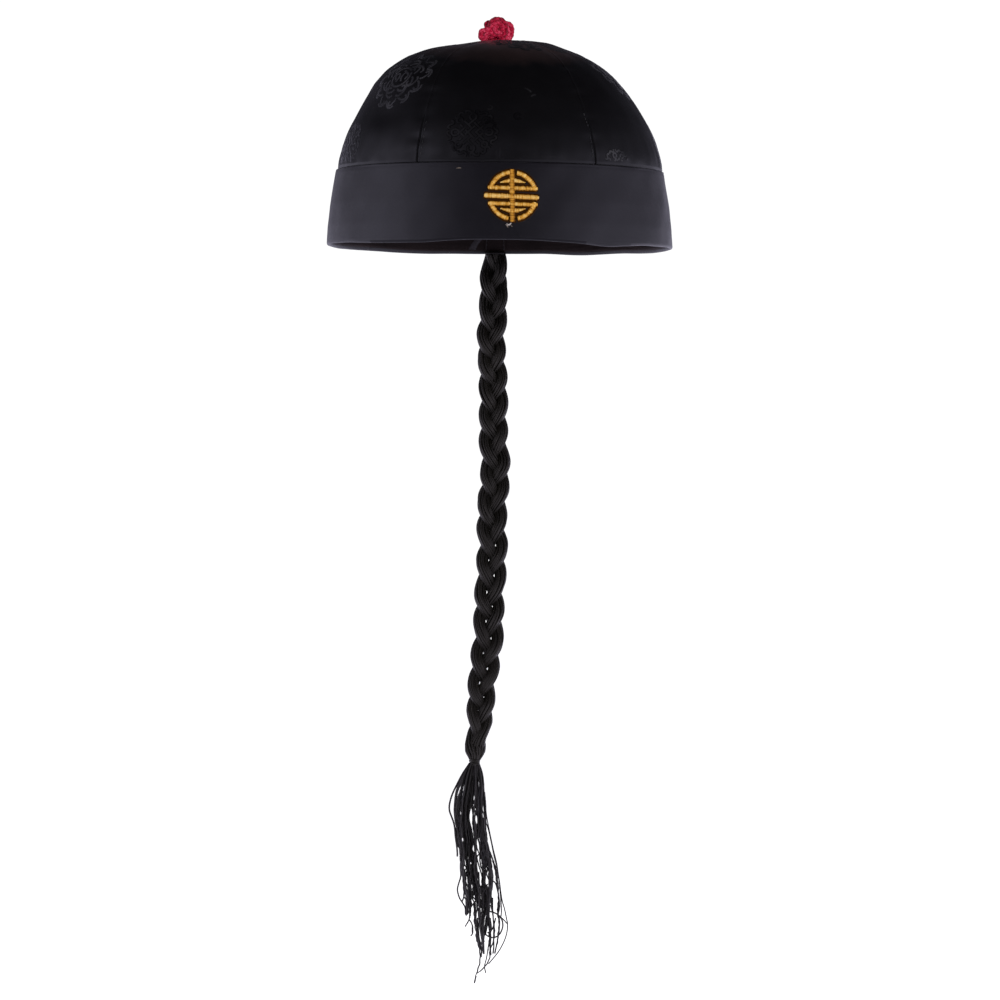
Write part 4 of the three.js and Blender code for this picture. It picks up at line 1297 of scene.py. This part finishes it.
# the few turns of thread that close the plait
shape = Shape()
turns = np.linspace(0, TAU * 6.3, 240)
tz = -287.4 - 4.4 * (turns / turns[-1]) + 0.25 * np.sin(turns * 0.37)
tr = 2.55 + 0.3 * np.sin(np.linspace(0, np.pi, len(turns)))
shape.tube(
    np.column_stack([-7.85 + tr * np.cos(turns), PLAIT_Y + tr * np.sin(turns), tz]), 0.43, 6, 0,
    0.45 + 0.2 * np.sin(turns * 0.9), up=(0, 0, 1),
)
ang = np.arange(14) / 14 * TAU
rz = np.array([-286.9, -287.5, -289.5, -291.5, -292.3])
rr = np.array([2.0, 2.45, 2.6, 2.45, 2.0])
shape.grid(
    np.stack(np.broadcast_arrays(-7.85 + rr[:, None] * np.cos(ang), PLAIT_Y + rr[:, None] * np.sin(ang), rz[:, None]), -1),
    None, 0, 0.0, close_j=True,
)
tie = shape.make("plait_tie", [BLACK], ["braid_tie"])

# ------------------------------------------------------------------- tassel
shape = Shape()
rng = np.random.RandomState(29)
# The loose ends hang in bundles. Each is charted by its place across the view (pixels)
# at heights down it, with how many cords it has, how wide they lie and how deep it hangs.
HEAD = [763, 775, 790, 805, 820, 835, 850, 865, 880, 895]
BUNDLES = [
    ([471.4, 467.6, 464.4, 461.9, 461.0, 461.9, 463.0, 463.4, 465.0, 467.0], [(905, 468.0), (915, 468.6)], 5, 0.95, -2.2),
    ([472.0, 469.0, 466.6, 464.2, 463.6, 464.8, 466.0, 467.2, 468.6, 469.6], [(908, 470.0), (914, 469.8)], 5, 0.95, 1.6),
    ([472.8, 470.6, 468.2, 466.0, 465.6, 467.4, 468.8, 469.8, 471.0, 472.0], [(910, 472.6), (915, 471.0)], 5, 1.0, -0.6),
    ([473.6, 472.0, 470.2, 467.8, 467.2, 469.4, 470.2, 471.6, 473.2, 474.3], [(909, 474.8), (921, 475.4), (931, 477.2), (937, 477.6), (945, 479.5), (954, 480.8), (957.5, 481.0)], 5, 0.95, 2.8),
    ([474.2, 473.6, 472.2, 470.2, 468.6, 472.2, 472.0, 473.8, 475.8, 476.4], [(912, 477.9), (925, 475.8), (935.6, 477.4), (944, 480.4), (952, 481.1), (963, 480.7), (970, 478.2), (977, 475.8), (982.5, 474.5)], 4, 0.85, 0.6),
    ([475.0, 475.4, 475.6, 475.2, 475.0, 476.2, 476.0, 475.2, 477.0, 479.0], [(912, 480.8), (921, 480.4), (931, 480.8), (939, 482.6), (946, 482.8), (954, 483.6)], 4, 0.65, -3.0),
    ([476.0, 477.2, 477.8, 478.4, 479.0, 481.0, 481.6, 484.0, 484.0, 483.0], [(912, 483.3), (921, 482.6), (931, 482.0), (937, 483.9), (943, 484.5), (952, 483.6)], 5, 0.95, 3.2),
    ([477.0, 479.2, 480.2, 479.8, 481.0, 482.4, 484.0, 485.6, 484.8, 487.0], [(912, 488.3), (921, 487.0), (931, 485.1), (936, 483.9)], 6, 1.0, 0.4),
    ([477.8, 480.6, 481.6, 481.0, 482.8, 484.0, 486.4, 489.0, 489.8, 489.4], [(914, 489.5), (924, 490.1), (928, 491.4), (934, 490.1), (943, 490.1), (955, 490.4)], 5, 0.95, -1.6),
    ([478.4, 481.6, 483.0, 484.2, 484.2, 485.6, 488.2, 491.2, 492.0, 491.2], [(909, 492.0), (915, 493.9), (927, 494.4), (940, 493.9), (951, 491.4), (959, 489.5), (967, 484.5), (974, 477.0), (979, 475.4)], 3, 0.5, 2.4),
    ([478.8, 482.6, 484.0, 485.2, 485.2, 486.2, 489.2, 494.2, 497.2, 498.3], [(903, 498.3), (915, 497.9), (920, 498.9), (928, 499.5), (936, 498.6), (944, 497.0), (952, 494.5)], 2, 0.4, 0.0),
    ([470.6, 464.6, 460.4, 457.4, 456.8, 457.6, 459.6, 461.4, 464.0, 465.6], [(905, 466.4), (914, 466.2)], 4, 0.85, 0.4),
    # those that nearly close the middle
    ([474.4, 474.2, 473.6, 472.6, 472.8, 474.6, 474.2, 475.6, 477.0, 478.0], [(905, 478.6), (912, 479.0)], 3, 0.75, 1.2),
    ([475.4, 475.8, 476.4, 476.8, 477.2, 477.6, 479.0, 481.8, 482.6, 482.2], [(905, 481.6), (914, 482.4)], 3, 0.75, -1.2),
    ([471.0, 466.2, 462.2, 459.6, 458.8, 459.8, 461.4, 462.6, 464.4, 466.4], [(900, 467.0), (908, 467.6)], 3, 0.7, 3.0),
]
# where light shows between them: across the view, and from and to what height (pixels)
SLITS = [
    (459.4, 786, 793), (470.8, 811, 821), (475.4, 806, 811), (482.4, 812, 817), (476.2, 817, 823), (477.4, 826, 832),
    (478.1, 841, 847), (458.6, 847, 853), (473.2, 846, 852), (478.8, 846, 853), (473.0, 852, 857), (477.4, 852, 857),
    (476.8, 857, 862), (481.0, 856, 868), (480.8, 868, 872), (485.2, 867, 872), (480.9, 872, 877), (478.7, 877, 881),
    (487.0, 877, 885), (480.0, 882, 887), (486.2, 886, 892), (464.9, 893, 898), (473.6, 896, 901),
    (460.8, 811, 814), (463.0, 838, 841), (464.6, 866, 870), (468.4, 872, 876), (470.6, 862, 865), (471.6, 885, 889),
    (485.0, 845, 848),
]
KEEP = {3, 4, 5, 6, 8, 9, 10}
for number, (across_px, tail, many, apart, deep) in enumerate(BUNDLES):
    line = np.array(list(zip(across_px, HEAD)) + [(x, y) for y, x in tail], float)
    line = through(line, 8)
    for c in range(many):
        own = waves(400 + number * 20 + c, 5, 14, 60, 1)
        place = 0.0 if many == 1 else (c + 0.5) / many * 2 - 1
        # one cord of a bundle goes on to the very end; the others stop on the way
        last = line[-1, 1] if c == 0 else (892 + 28 * rng.rand() if number in KEEP else 880 + 34 * rng.rand())
        if c == 1 and number in (3, 6, 8):
            last = line[-1, 1] - 5 - 6 * rng.rand()
        q = line[line[:, 1] < last]
        open_ = np.clip((q[:, 1] - 765) / 60, 0.15, 1)
        loose_ = np.clip((q[:, 1] - 860) / 60, 0, 1)
        px = q[:, 0] + open_ * (apart * (place * 1.25) + 0.35 * own(q[:, 1])) + 0.5 * loose_ * own(q[:, 1] + 300) * (c > 0)
        g = np.clip(deep + 1.9 * math.sin(2.4 * c + number), -5.4, 5.4)
        y = PLAIT_Y + g * np.interp(q[:, 1], [760, 775, 820, 900, 985], [0.5, 0.8, 1.0, 0.9, 0.5]) + 0.35 * own(q[:, 1] + 90) * open_
        # the cords keep the crimp of the plait they were part of
        crimp = np.clip((q[:, 1] - 770) / 50, 0, 1) * (0.10 + 0.30 * rng.rand())
        wave_, slip = 4.5 + 5.0 * rng.rand(), TAU * rng.rand()
        px = px + crimp * np.sin(TAU * q[:, 1] / wave_ + slip)
        y = y + 0.5 * crimp * np.cos(TAU * q[:, 1] / wave_ + slip)
        for sx, s0, s1 in SLITS:
            near = np.exp(-(((q[:, 1] - (s0 + s1) / 2) / (0.62 * (s1 - s0))) ** 4)) * np.exp(-(((px - sx) / 2.2) ** 2))
            px = px + near * 0.85 * np.where(px.mean() + (np.interp((s0 + s1) / 2, q[:, 1], px) - px.mean()) < sx, -1, 1)
        p = evenly(seen_at(px, q[:, 1], y), 0.9)
        taper = np.clip((len(p) - 1 - np.arange(len(p))) / 7, 0.3, 1)
        shape.tube(p, (0.42 if c else 0.40) * (0.88 + 0.26 * rng.rand()) * taper, 6, 0, np.clip(0.62 + 0.28 * rng.randn(), 0.05, 0.95), up=(0, 1, 0))
# cords that wander from one bundle to the next, inside the two thick halves
for c, (b0, b1, y1) in enumerate([(11, 3, 902), (0, 4, 889), (11, 4, 868), (0, 3, 910), (1, 4, 880), (6, 9, 872), (6, 8, 905), (7, 9, 892), (3, 6, 866)]):
    q = np.arange(762.0, y1, 0.8)
    sweep, own = waves(600 + c, 3, 60, 140, 1), waves(640 + c, 3, 16, 34, 1)
    left, right = np.interp(q, HEAD, BUNDLES[b0][0]), np.interp(q, HEAD, BUNDLES[b1][0])
    f = np.clip(0.5 + 0.5 * sweep(q), 0.0, 1.0)
    px = left + (right - left) * f + 0.12 * own(q)
    px = np.where(q < 790, (px - 475) * np.clip((q - 752) / 38, 0.2, 1) + 475 - 0.02 * (790 - q), px)
    y = PLAIT_Y + (-3.2 + 6.4 * rng.rand()) * np.clip((q - 750) / 40, 0.3, 1)
    p = evenly(seen_at(px, q, y), 0.9)
    taper = np.clip((len(p) - 1 - np.arange(len(p))) / 7, 0.3, 1)
    shape.tube(p, 0.36 * (0.9 + 0.25 * rng.rand()) * taper, 6, 0, np.clip(0.6 + 0.2 * rng.randn(), 0.05, 0.95), up=(0, 1, 0))
# painted shade: dark fillers inside the thick bundles, standing in for the shade between their cords
for number, radius, y0, y1 in ((1, 1.4, 778, 866), (3, 0.8, 772, 852), (7, 1.1, 778, 870)):
    line = through(np.array(list(zip(BUNDLES[number][0], HEAD)), float), 6)
    q = line[(line[:, 1] > y0) & (line[:, 1] < y1)]
    at = (q[:, 1] - y0) / (y1 - y0)
    p = seen_at(q[:, 0] + 0.4, q[:, 1], PLAIT_Y + BUNDLES[number][4] * 0.4 + 0 * at)
    shape.tube(p, radius * np.clip(np.sin(np.pi * np.clip(at * 0.92 + 0.08, 0, 1)) * 1.6, 0.15, 1), 8, 0, 0.0, up=(0, 1, 0))

SINGLE = [
    # bows and loops at the left
    ([(469.8, 763), (462.6, 773.8), (457, 784.4), (452, 795), (449.4, 805), (449.6, 811.3), (451.4, 816.3), (453.6, 822.5), (454.8, 828.8), (455.4, 836.3), (456.7, 845.6), (457.3, 852.5), (457.3, 856.3)], 0.52, -2.5),
    ([(469.5, 765), (463.9, 773.8), (460.1, 781.9), (457, 788.8), (455.4, 796.3), (454.6, 805), (454.4, 811.3), (455.5, 822), (457.9, 831.9), (460.1, 842.5), (460.8, 851.9), (460.1, 857.5)], 0.50, -3.5),
    ([(469.3, 765), (465.0, 774), (461.0, 783), (457.8, 791), (456.0, 800), (455.4, 812), (456.4, 822), (458.0, 832), (459.3, 842)], 0.44, 1.5),
    ([(468.9, 767.5), (466.4, 773.8), (463.6, 781.9), (460.3, 791.3), (458.0, 797), (457.0, 805), (456.7, 812), (457.8, 822.5), (459.2, 832), (461.4, 842), (461.6, 852), (460.4, 866), (460.8, 876), (458.6, 883.8), (457.4, 890), (459.3, 897.5), (462, 902), (465.1, 907.5), (465.4, 913.8), (466.4, 915.5)], 0.44, 0.5),
    ([(461.5, 858), (462.4, 870), (463.3, 881.3), (464.2, 890), (463.9, 896.3), (462, 901.9)], 0.42, 1.5),
    ([(464.0, 876), (466.2, 888), (467.4, 900), (466.6, 910), (467.0, 915)], 0.40, -1.5),
    ([(469.5, 905), (469.6, 914.4), (468.9, 920), (465.1, 926.6)], 0.38, 0.0),
    ([(468.9, 919), (472.0, 924.3), (472.8, 932.5), (470.8, 935.9)], 0.40, 0.0),
    ([(472.6, 926), (472.4, 930), (472.6, 933.2)], 0.52, 0.0),
    # thin ones at the right
    ([(484.6, 792), (485.8, 806), (485.9, 821), (488.3, 829), (491.4, 842.5), (493.9, 855), (497, 867.5), (498.5, 876), (499.6, 884), (500.3, 893), (501, 902.5), (501.4, 911.3), (500.8, 918)], 0.36, 2.0),
    ([(485.0, 800), (486.3, 814), (488.0, 824), (490.4, 836), (493.4, 850), (496.6, 863), (498.3, 874.4), (499.8, 883.8), (500.9, 893), (502.3, 901.3), (504.5, 908.8), (506.4, 918), (507.6, 924.4), (507, 931.9), (505.1, 938.8), (502, 945.6), (498.3, 951.9), (493.9, 957.5), (488.6, 963.8)], 0.34, -2.0),
    # across the gap in the middle
    ([(476.4, 842), (476.0, 852), (477.4, 860), (479.0, 866), (482, 876.3), (483.3, 886.9), (483.6, 897)], 0.40, 1.0),
    ([(484.4, 842), (482.4, 850), (479.6, 853.6), (477.2, 856.5), (476.4, 862), (477.4, 872), (479.4, 884), (481.6, 894), (483.6, 904)], 0.40, -3.0),
    ([(478.8, 872), (479.4, 886), (480.2, 898), (479.6, 908), (480.4, 914)], 0.40, 2.0),
    ([(485.4, 870), (485.0, 882), (486.6, 893), (487.8, 902), (486.6, 911)], 0.40, -2.6),
    # the dense knot of ends low in the middle
    ([(480.6, 886), (482.0, 896), (481.4, 906), (483.4, 913)], 0.46, 0.0),
    ([(484.6, 884), (485.6, 894), (484.8, 904), (486.0, 912)], 0.48, 1.6),
    ([(487.0, 886), (488.4, 896), (487.2, 906), (488.0, 913)], 0.48, -1.2),
    ([(489.4, 884), (489.8, 896), (489.2, 905), (488.6, 912)], 0.44, 0.8),
    ([(482.4, 890), (483.4, 899), (482.8, 908), (481.0, 915)], 0.46, -2.0),
    ([(486.2, 888), (486.8, 898), (485.6, 908), (486.4, 915)], 0.44, 2.6),
    # the ring that one end makes at the right
    ([(487.0, 910.4), (489.5, 911.4), (494.5, 912.8), (498.3, 915), (501.6, 919), (502.9, 925), (501.6, 930.6), (498.9, 935), (495.1, 937.3), (491.4, 937.4), (487, 935.6), (484.2, 932.4)], 0.44, -3.0),
    ([(497.8, 914.6), (503.3, 919.4), (507, 923.6)], 0.34, -2.0),
    ([(492.4, 881), (495.2, 882.6), (497.0, 888), (498.6, 896), (499.6, 906), (498.2, 914)], 0.42, -1.0),
    ([(495.6, 918), (493.9, 925), (490.6, 931.6), (487.6, 932.6)], 0.40, 0.5),
    ([(490.0, 918), (491.2, 927), (490.2, 934)], 0.48, -0.6),
    ([(489.6, 938), (487.9, 949.4), (486.4, 958.8), (484.5, 966.3), (485.8, 973)], 0.34, -1.0),
    ([(480.4, 918), (480.6, 930), (482.4, 938), (483.0, 950)], 0.50, 0.8),
    ([(484.0, 914), (483.0, 924), (482.6, 933), (484.0, 942)], 0.50, -0.8),
    ([(477.0, 936), (478.6, 941.5), (479.8, 946)], 0.46, 0.0),
    ([(486.6, 902), (487.2, 912), (486.4, 920), (485.4, 927), (484.6, 933), (483.6, 940)], 0.46, 1.2),
    ([(488.0, 904), (488.2, 914), (487.6, 922), (486.6, 929), (485.2, 935)], 0.42, -1.4),
    ([(478.4, 908), (478.6, 916), (479.6, 923), (480.4, 931), (481.6, 938), (483.2, 946)], 0.46, 1.8),
    ([(482.4, 908), (482.0, 918), (480.8, 927), (481.6, 935), (483.4, 943), (482.8, 951)], 0.42, -1.2),
    ([(466.4, 900), (466.0, 908), (466.4, 914.5)], 0.42, 1.2),
    ([(470.6, 902), (470.2, 910), (470.4, 916)], 0.44, -0.6),
    ([(475.0, 902), (475.6, 910), (475.2, 917)], 0.40, 1.4),
    # crossing low in the thick part
    ([(468.4, 886), (471.0, 893), (474.6, 899), (478.6, 903), (482.0, 909)], 0.36, 3.0),
    ([(487.6, 884), (484.0, 891), (479.6, 897), (474.4, 902), (470.6, 908)], 0.36, -3.4),
    ([(476.0, 976), (475.2, 979.5), (474.4, 983)], 0.46, 0.0),
    # the last long ones at the right
    ([(484.4, 893), (484.0, 902), (484.4, 911), (483.9, 918), (483.4, 927), (483.3, 936), (483.6, 945), (483.8, 954)], 0.54, 0.2),
    ([(486.4, 897), (486.8, 906), (486.1, 912), (484.2, 918), (482.9, 925), (482.5, 933), (482.8, 940), (483.6, 949)], 0.50, -1.8),
    ([(489.8, 905), (488.4, 913), (488.2, 920), (489.2, 928), (490.0, 933)], 0.54, 1.4),
    ([(487.4, 906), (487.8, 914), (488.8, 922), (490.2, 930), (490.6, 938), (490.2, 947), (490.8, 955)], 0.50, -0.8),
    ([(492.6, 898), (492.6, 908), (493.2, 918), (493.8, 928), (493.6, 938), (493.8, 946), (493.0, 953.5)], 0.44, 0.9),
    ([(498.8, 899), (498.4, 908), (498.2, 914), (499.6, 921), (499.2, 930), (498.0, 938), (496.6, 945), (494.8, 953.5)], 0.42, -0.2),
    ([(477.4, 918), (476.6, 926), (478.0, 934), (480.0, 942), (481.4, 950), (481.2, 957)], 0.46, -0.6),
    ([(477.2, 919), (478.2, 925), (478.3, 930), (478.8, 936), (479.6, 944)], 0.48, 0.2),
    ([(479.4, 905), (480.2, 914), (480.6, 922), (481.6, 931), (482.6, 940)], 0.50, 0.9),
    ([(467.8, 900), (467.8, 908), (467.6, 914)], 0.46, -0.9),
    ([(469.4, 904), (469.6, 911), (469.8, 918)], 0.44, 1.9),
]
for pts, r, off in SINGLE:
    pts = np.array(pts, float)
    y = PLAIT_Y + off * np.clip((pts[:, 1] - 757) / 20, 0.3, 1)
    p = evenly(through(seen_at(pts[:, 0], pts[:, 1], y), 6), 1.2)
    shape.tube(p, r, 6, 0, 0.5, up=(0, 1, 0))
# the root of the ends, bunched under the tie
ry = np.array([759.5, 762, 765, 768, 771, 774, 777, 780.0])
rl = np.array([470.8, 470.6, 470.2, 469.6, 469.2, 469.4, 470.6, 472.6])
rr = np.array([477.8, 478.4, 479.0, 479.4, 479.4, 478.8, 477.4, 475.4])
middle = seen_at((rl + rr) / 2, ry, PLAIT_Y)
rw = (rr - rl) / 2 / 1.7515 * np.array([0.9, 0.9, 0.94, 0.94, 0.92, 0.86, 0.7, 0.3])
rd = np.array([1.4, 1.5, 1.6, 1.7, 1.6, 1.4, 1.0, 0.4])
shape.grid(
    np.stack(
        [
            middle[:, :1] + rw[:, None] * np.cos(ang)[None],
            PLAIT_Y + rd[:, None] * np.sin(ang)[None],
            middle[:, 2:] + 0 * ang[None],
        ],
        -1,
    ),
    None, 0, 0.0, close_j=True,
)
tassel = shape.make("plait_tassel", [BLACK_ENDS], ["tassel"])

# ---------------------------------------------------------------------- tab
shape = Shape()
tz = np.array([-0.2, 0.1, 0.6, 1.5, 3, 4.5, 6, 7.5, 9, 9.6, 9.95, 10.0])
tu = np.linspace(-5.75, 5.75, 14)
U, Zt = np.meshgrid(tu, tz)
round_ = 0.45 * (np.clip(1 - (5.75 - np.abs(U)) / 0.8, 0, 1) ** 2 + np.clip(1 - (Zt + 0.2) / 0.7, 0, 1) ** 2 + np.clip(1 - (10 - Zt) / 0.6, 0, 1) ** 2)
Rt = np.interp(np.maximum(Zt, 2), FACING_FACE[:, 0], FACING_FACE[:, 1]) - 0.95
At = np.pi - 4.0 / 92 + U / 92
swell = 0.12 * np.sin(U * 1.3) + 0.1 * np.sin(Zt * 1.1)
front = shape.grid(band_point(At, Rt - 0.30 + round_ * 0.8 + swell * 0.5, Zt), np.stack([U, Zt], -1), 0)
back = shape.grid(band_point(At, Rt + 0.35 - round_ * 0.3, Zt), np.stack([U, Zt], -1), 0, flip=True)
nr, nc = U.shape
shape.faces([[front + j + 1, front + j, back + j, back + j + 1] for j in range(nc - 1)])
o = (nr - 1) * nc
shape.faces([[front + o + j, front + o + j + 1, back + o + j + 1, back + o + j] for j in range(nc - 1)])
shape.faces([[front + i * nc, front + (i + 1) * nc, back + (i + 1) * nc, back + i * nc] for i in range(nr - 1)])
shape.faces([[front + (i + 1) * nc + nc - 1, front + i * nc + nc - 1, back + i * nc + nc - 1, back + (i + 1) * nc + nc - 1] for i in range(nr - 1)])
shape.make("plait_tab", [FACING], ["braid_tab"])

shape = Shape()
rng = np.random.RandomState(4)


def tab_stitch(u0, z0, u1, z1):
    w = np.linspace(0, 1, 6)
    u, z = u0 + (u1 - u0) * w, z0 + (z1 - z0) * w
    r = np.interp(np.maximum(z, 2), FACING_FACE[:, 0], FACING_FACE[:, 1]) - 1.27 - 0.2 * np.sin(np.pi * w)
    shape.tube(band_point(np.pi - 4.0 / 92 + u / 92, r, z), 0.17, 5, 0, 0.3 + 0.5 * rng.rand())


for k in range(5):
    tab_stitch(-4.6 + 2.0 * k, 8.3, -3.4 + 2.0 * k, 8.45)
    tab_stitch(-4.6 + 2.0 * k, 1.4, -3.4 + 2.0 * k, 1.3)
for k in range(3):
    tab_stitch(-4.9, 2.4 + 2.1 * k, -4.85, 3.7 + 2.1 * k)
    tab_stitch(4.9, 2.4 + 2.1 * k, 4.85, 3.7 + 2.1 * k)
shape.make("tab_stitches", [STITCH], [])

# -------------------------------------------------------------------- stage
floor = Shape()
ring = np.concatenate([[0.0], np.geomspace(300, 16000, 14)])
around_ = np.arange(48) / 48 * TAU
fp = np.stack(
    np.broadcast_arrays(ring[:, None] * np.cos(around_), ring[:, None] * np.sin(around_), -560.0 + 0 * ring[:, None]), -1
)
me = bpy.data.meshes.new("floor")
rows, cols = fp.shape[:2]
quads = [
    [i * cols + j, (i + 1) * cols + j, (i + 1) * cols + (j + 1) % cols, i * cols + (j + 1) % cols]
    for i in range(1, rows - 1)
    for j in range(cols)
]
quads += [[0, cols + j, cols + (j + 1) % cols] for j in range(cols)]
me.from_pydata((fp.reshape(-1, 3) * MM).tolist(), [], quads)
floor_ob = bpy.data.objects.new("floor", me)
scene.collection.objects.link(floor_ob)
n = Nodes("pale floor")
n.colour(n.ramp(n.noise(n.place(1.0), 0.6, 2.0), [(0.2, (0.86, 0.86, 0.86)), (0.8, (0.92, 0.92, 0.92))]))
n.set(Roughness=0.9, Specular_IOR_Level=0.1)
n.bsdf.inputs["Emission Color"].default_value = (1, 1, 1, 1)
n.bsdf.inputs["Emission Strength"].default_value = 1.0
me.materials.append(n.mat)
floor_ob.visible_glossy = False
floor_ob.visible_diffuse = False
floor_ob.visible_transmission = False
floor_ob.visible_shadow = False
floor_ob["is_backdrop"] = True

# Studio: a white surround. Its light comes from soft walls at both sides, which fade
# towards the front, over the object and behind it.
world = bpy.data.worlds.new("studio")
scene.world = world
world.use_nodes = True
wt = world.node_tree
seen = next(x for x in wt.nodes if x.type == "BACKGROUND")
seen.inputs["Color"].default_value = (1, 1, 1, 1)
seen.inputs["Strength"].default_value = 1.05
lit = wt.nodes.new("ShaderNodeBackground")
lit.inputs["Color"].default_value = (1.0, 0.965, 1.22, 1)
co = wt.nodes.new("ShaderNodeTexCoord")
sep = wt.nodes.new("ShaderNodeSeparateXYZ")
wt.links.new(co.outputs["Generated"], sep.inputs[0])


def wramp(value, stops):
    r = wt.nodes.new("ShaderNodeValToRGB")
    r.color_ramp.interpolation = "LINEAR"
    while len(r.color_ramp.elements) < len(stops):
        r.color_ramp.elements.new(0.5)
    for e, (at, level) in zip(r.color_ramp.elements, stops):
        e.position = at
        e.color = (level, level, level, 1)
    wt.links.new(value, r.inputs["Fac"])
    return r.outputs["Color"]


def wmath(op, a, b):
    m = wt.nodes.new("ShaderNodeMath")
    m.operation = op
    for i, x in enumerate((a, b)):
        if isinstance(x, (int, float)):
            m.inputs[i].default_value = x
        else:
            wt.links.new(x, m.inputs[i])
    return m.outputs[0]


# how bright the walls are round the object (0 is the front, + is its right)
WALLS = [
    (-180, 0.45), (-160, 0.92), (-148, 0.70), (-134, 0.70), (-120, 0.92), (-102, 1.0), (-78, 0.88), (-50, 0.28), (-30, 0.02),
    (8, 0.015), (22, 0.11), (40, 0.53), (67, 0.81), (94, 0.74), (126, 0.66), (142, 0.73), (154, 0.98), (165, 1.0), (180, 0.45),
]
turn = wmath("ARCTAN2", sep.outputs["X"], wmath("MULTIPLY", sep.outputs["Y"], -1.0))
round_it = wmath("ADD", wmath("DIVIDE", turn, TAU), 0.5)
walls = wramp(round_it, [((d + 180) / 360, v) for d, v in WALLS])
# how that changes with height, as the sine of the elevation, at the sides and behind
up = wmath("ADD", wmath("MULTIPLY", sep.outputs["Z"], 0.5), 0.5)
AT_LEFT = [(-1.0, 0.4), (-0.1, 0.96), (0.06, 0.97), (0.17, 0.85), (0.30, 1.08), (0.42, 1.15), (0.52, 0.76), (0.60, 0.33), (0.68, 0.12), (0.80, 0.03), (1.0, 0.02)]
AT_RIGHT = [(-1.0, 0.4), (-0.1, 1.0), (0.10, 0.98), (0.24, 0.68), (0.38, 0.50), (0.52, 0.27), (0.64, 0.08), (0.80, 0.02), (1.0, 0.02)]
BEHIND = [(-1.0, 0.4), (-0.1, 1.0), (0.03, 1.0), (0.11, 0.43), (0.19, 0.19), (0.28, 0.11), (0.42, 0.055), (0.55, 0.032), (0.7, 0.02), (1.0, 0.02)]
at_left = wramp(up, [((z + 1) / 2, v) for z, v in AT_LEFT])
at_right = wramp(up, [((z + 1) / 2, v) for z, v in AT_RIGHT])
behind = wramp(up, [((z + 1) / 2, v) for z, v in BEHIND])
right_hand = wramp(round_it, [(160 / 360, 0.0), (200 / 360, 1.0)])
at_sides = wmath("ADD", wmath("MULTIPLY", at_left, wmath("SUBTRACT", 1.0, right_hand)), wmath("MULTIPLY", at_right, right_hand))
away = wramp(wmath("DIVIDE", wmath("ABSOLUTE", turn, 0.0), math.pi), [(85 / 180, 0.0), (125 / 180, 1.0)])
high = wmath("ADD", wmath("MULTIPLY", at_sides, wmath("SUBTRACT", 1.0, away)), wmath("MULTIPLY", behind, away))
# a dim soft light over the front, and the pale table below
over = wmath(
    "MULTIPLY",
    wramp(wmath("DIVIDE", wmath("ABSOLUTE", turn, 0.0), math.pi), [(40 / 180, 1.0), (80 / 180, 0.0)]),
    wramp(up, [(0.64, 0.0), (0.71, 0.09), (0.79, 0.09), (0.86, 0.03), (0.93, 0.0)]),
)
below = wramp(up, [(0.26, 0.42), (0.42, 0.0)])
level = wmath("ADD", wmath("ADD", wmath("MULTIPLY", walls, high), over), below)
wt.links.new(level, lit.inputs["Strength"])
path = wt.nodes.new("ShaderNodeLightPath")
both = wt.nodes.new("ShaderNodeMixShader")
wt.links.new(path.outputs["Is Camera Ray"], both.inputs[0])
wt.links.new(lit.outputs[0], both.inputs[1])
wt.links.new(seen.outputs[0], both.inputs[2])
wt.links.new(both.outputs[0], next(x for x in wt.nodes if x.type == "OUTPUT_WORLD").inputs["Surface"])


def softbox(name, azimuth, height, away, wide, tall, power, glossy=True):
    light = bpy.data.lights.new(name, "AREA")
    light.shape = "RECTANGLE"
    light.size, light.size_y = wide, tall
    light.energy = power
    ob = bpy.data.objects.new(name, light)
    scene.collection.objects.link(ob)
    a = math.radians(azimuth)
    ob.location = (math.sin(a) * away, -math.cos(a) * away, height)
    target = np.array([0, 0, 0.0])
    d = target - np.array(ob.location)
    ob.rotation_euler = (
        math.atan2(math.hypot(d[0], d[1]), -d[2]),
        0,
        math.atan2(d[1], d[0]) - math.pi / 2,
    )
    ob.visible_camera = False
    ob.visible_glossy = glossy
    return ob


softbox("front fill", 12, 0.35, 2.6, 1.2, 0.9, 47, glossy=False)
softbox("back fill", 192, 0.9, 2.8, 1.6, 1.2, 14, glossy=False)

low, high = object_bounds()
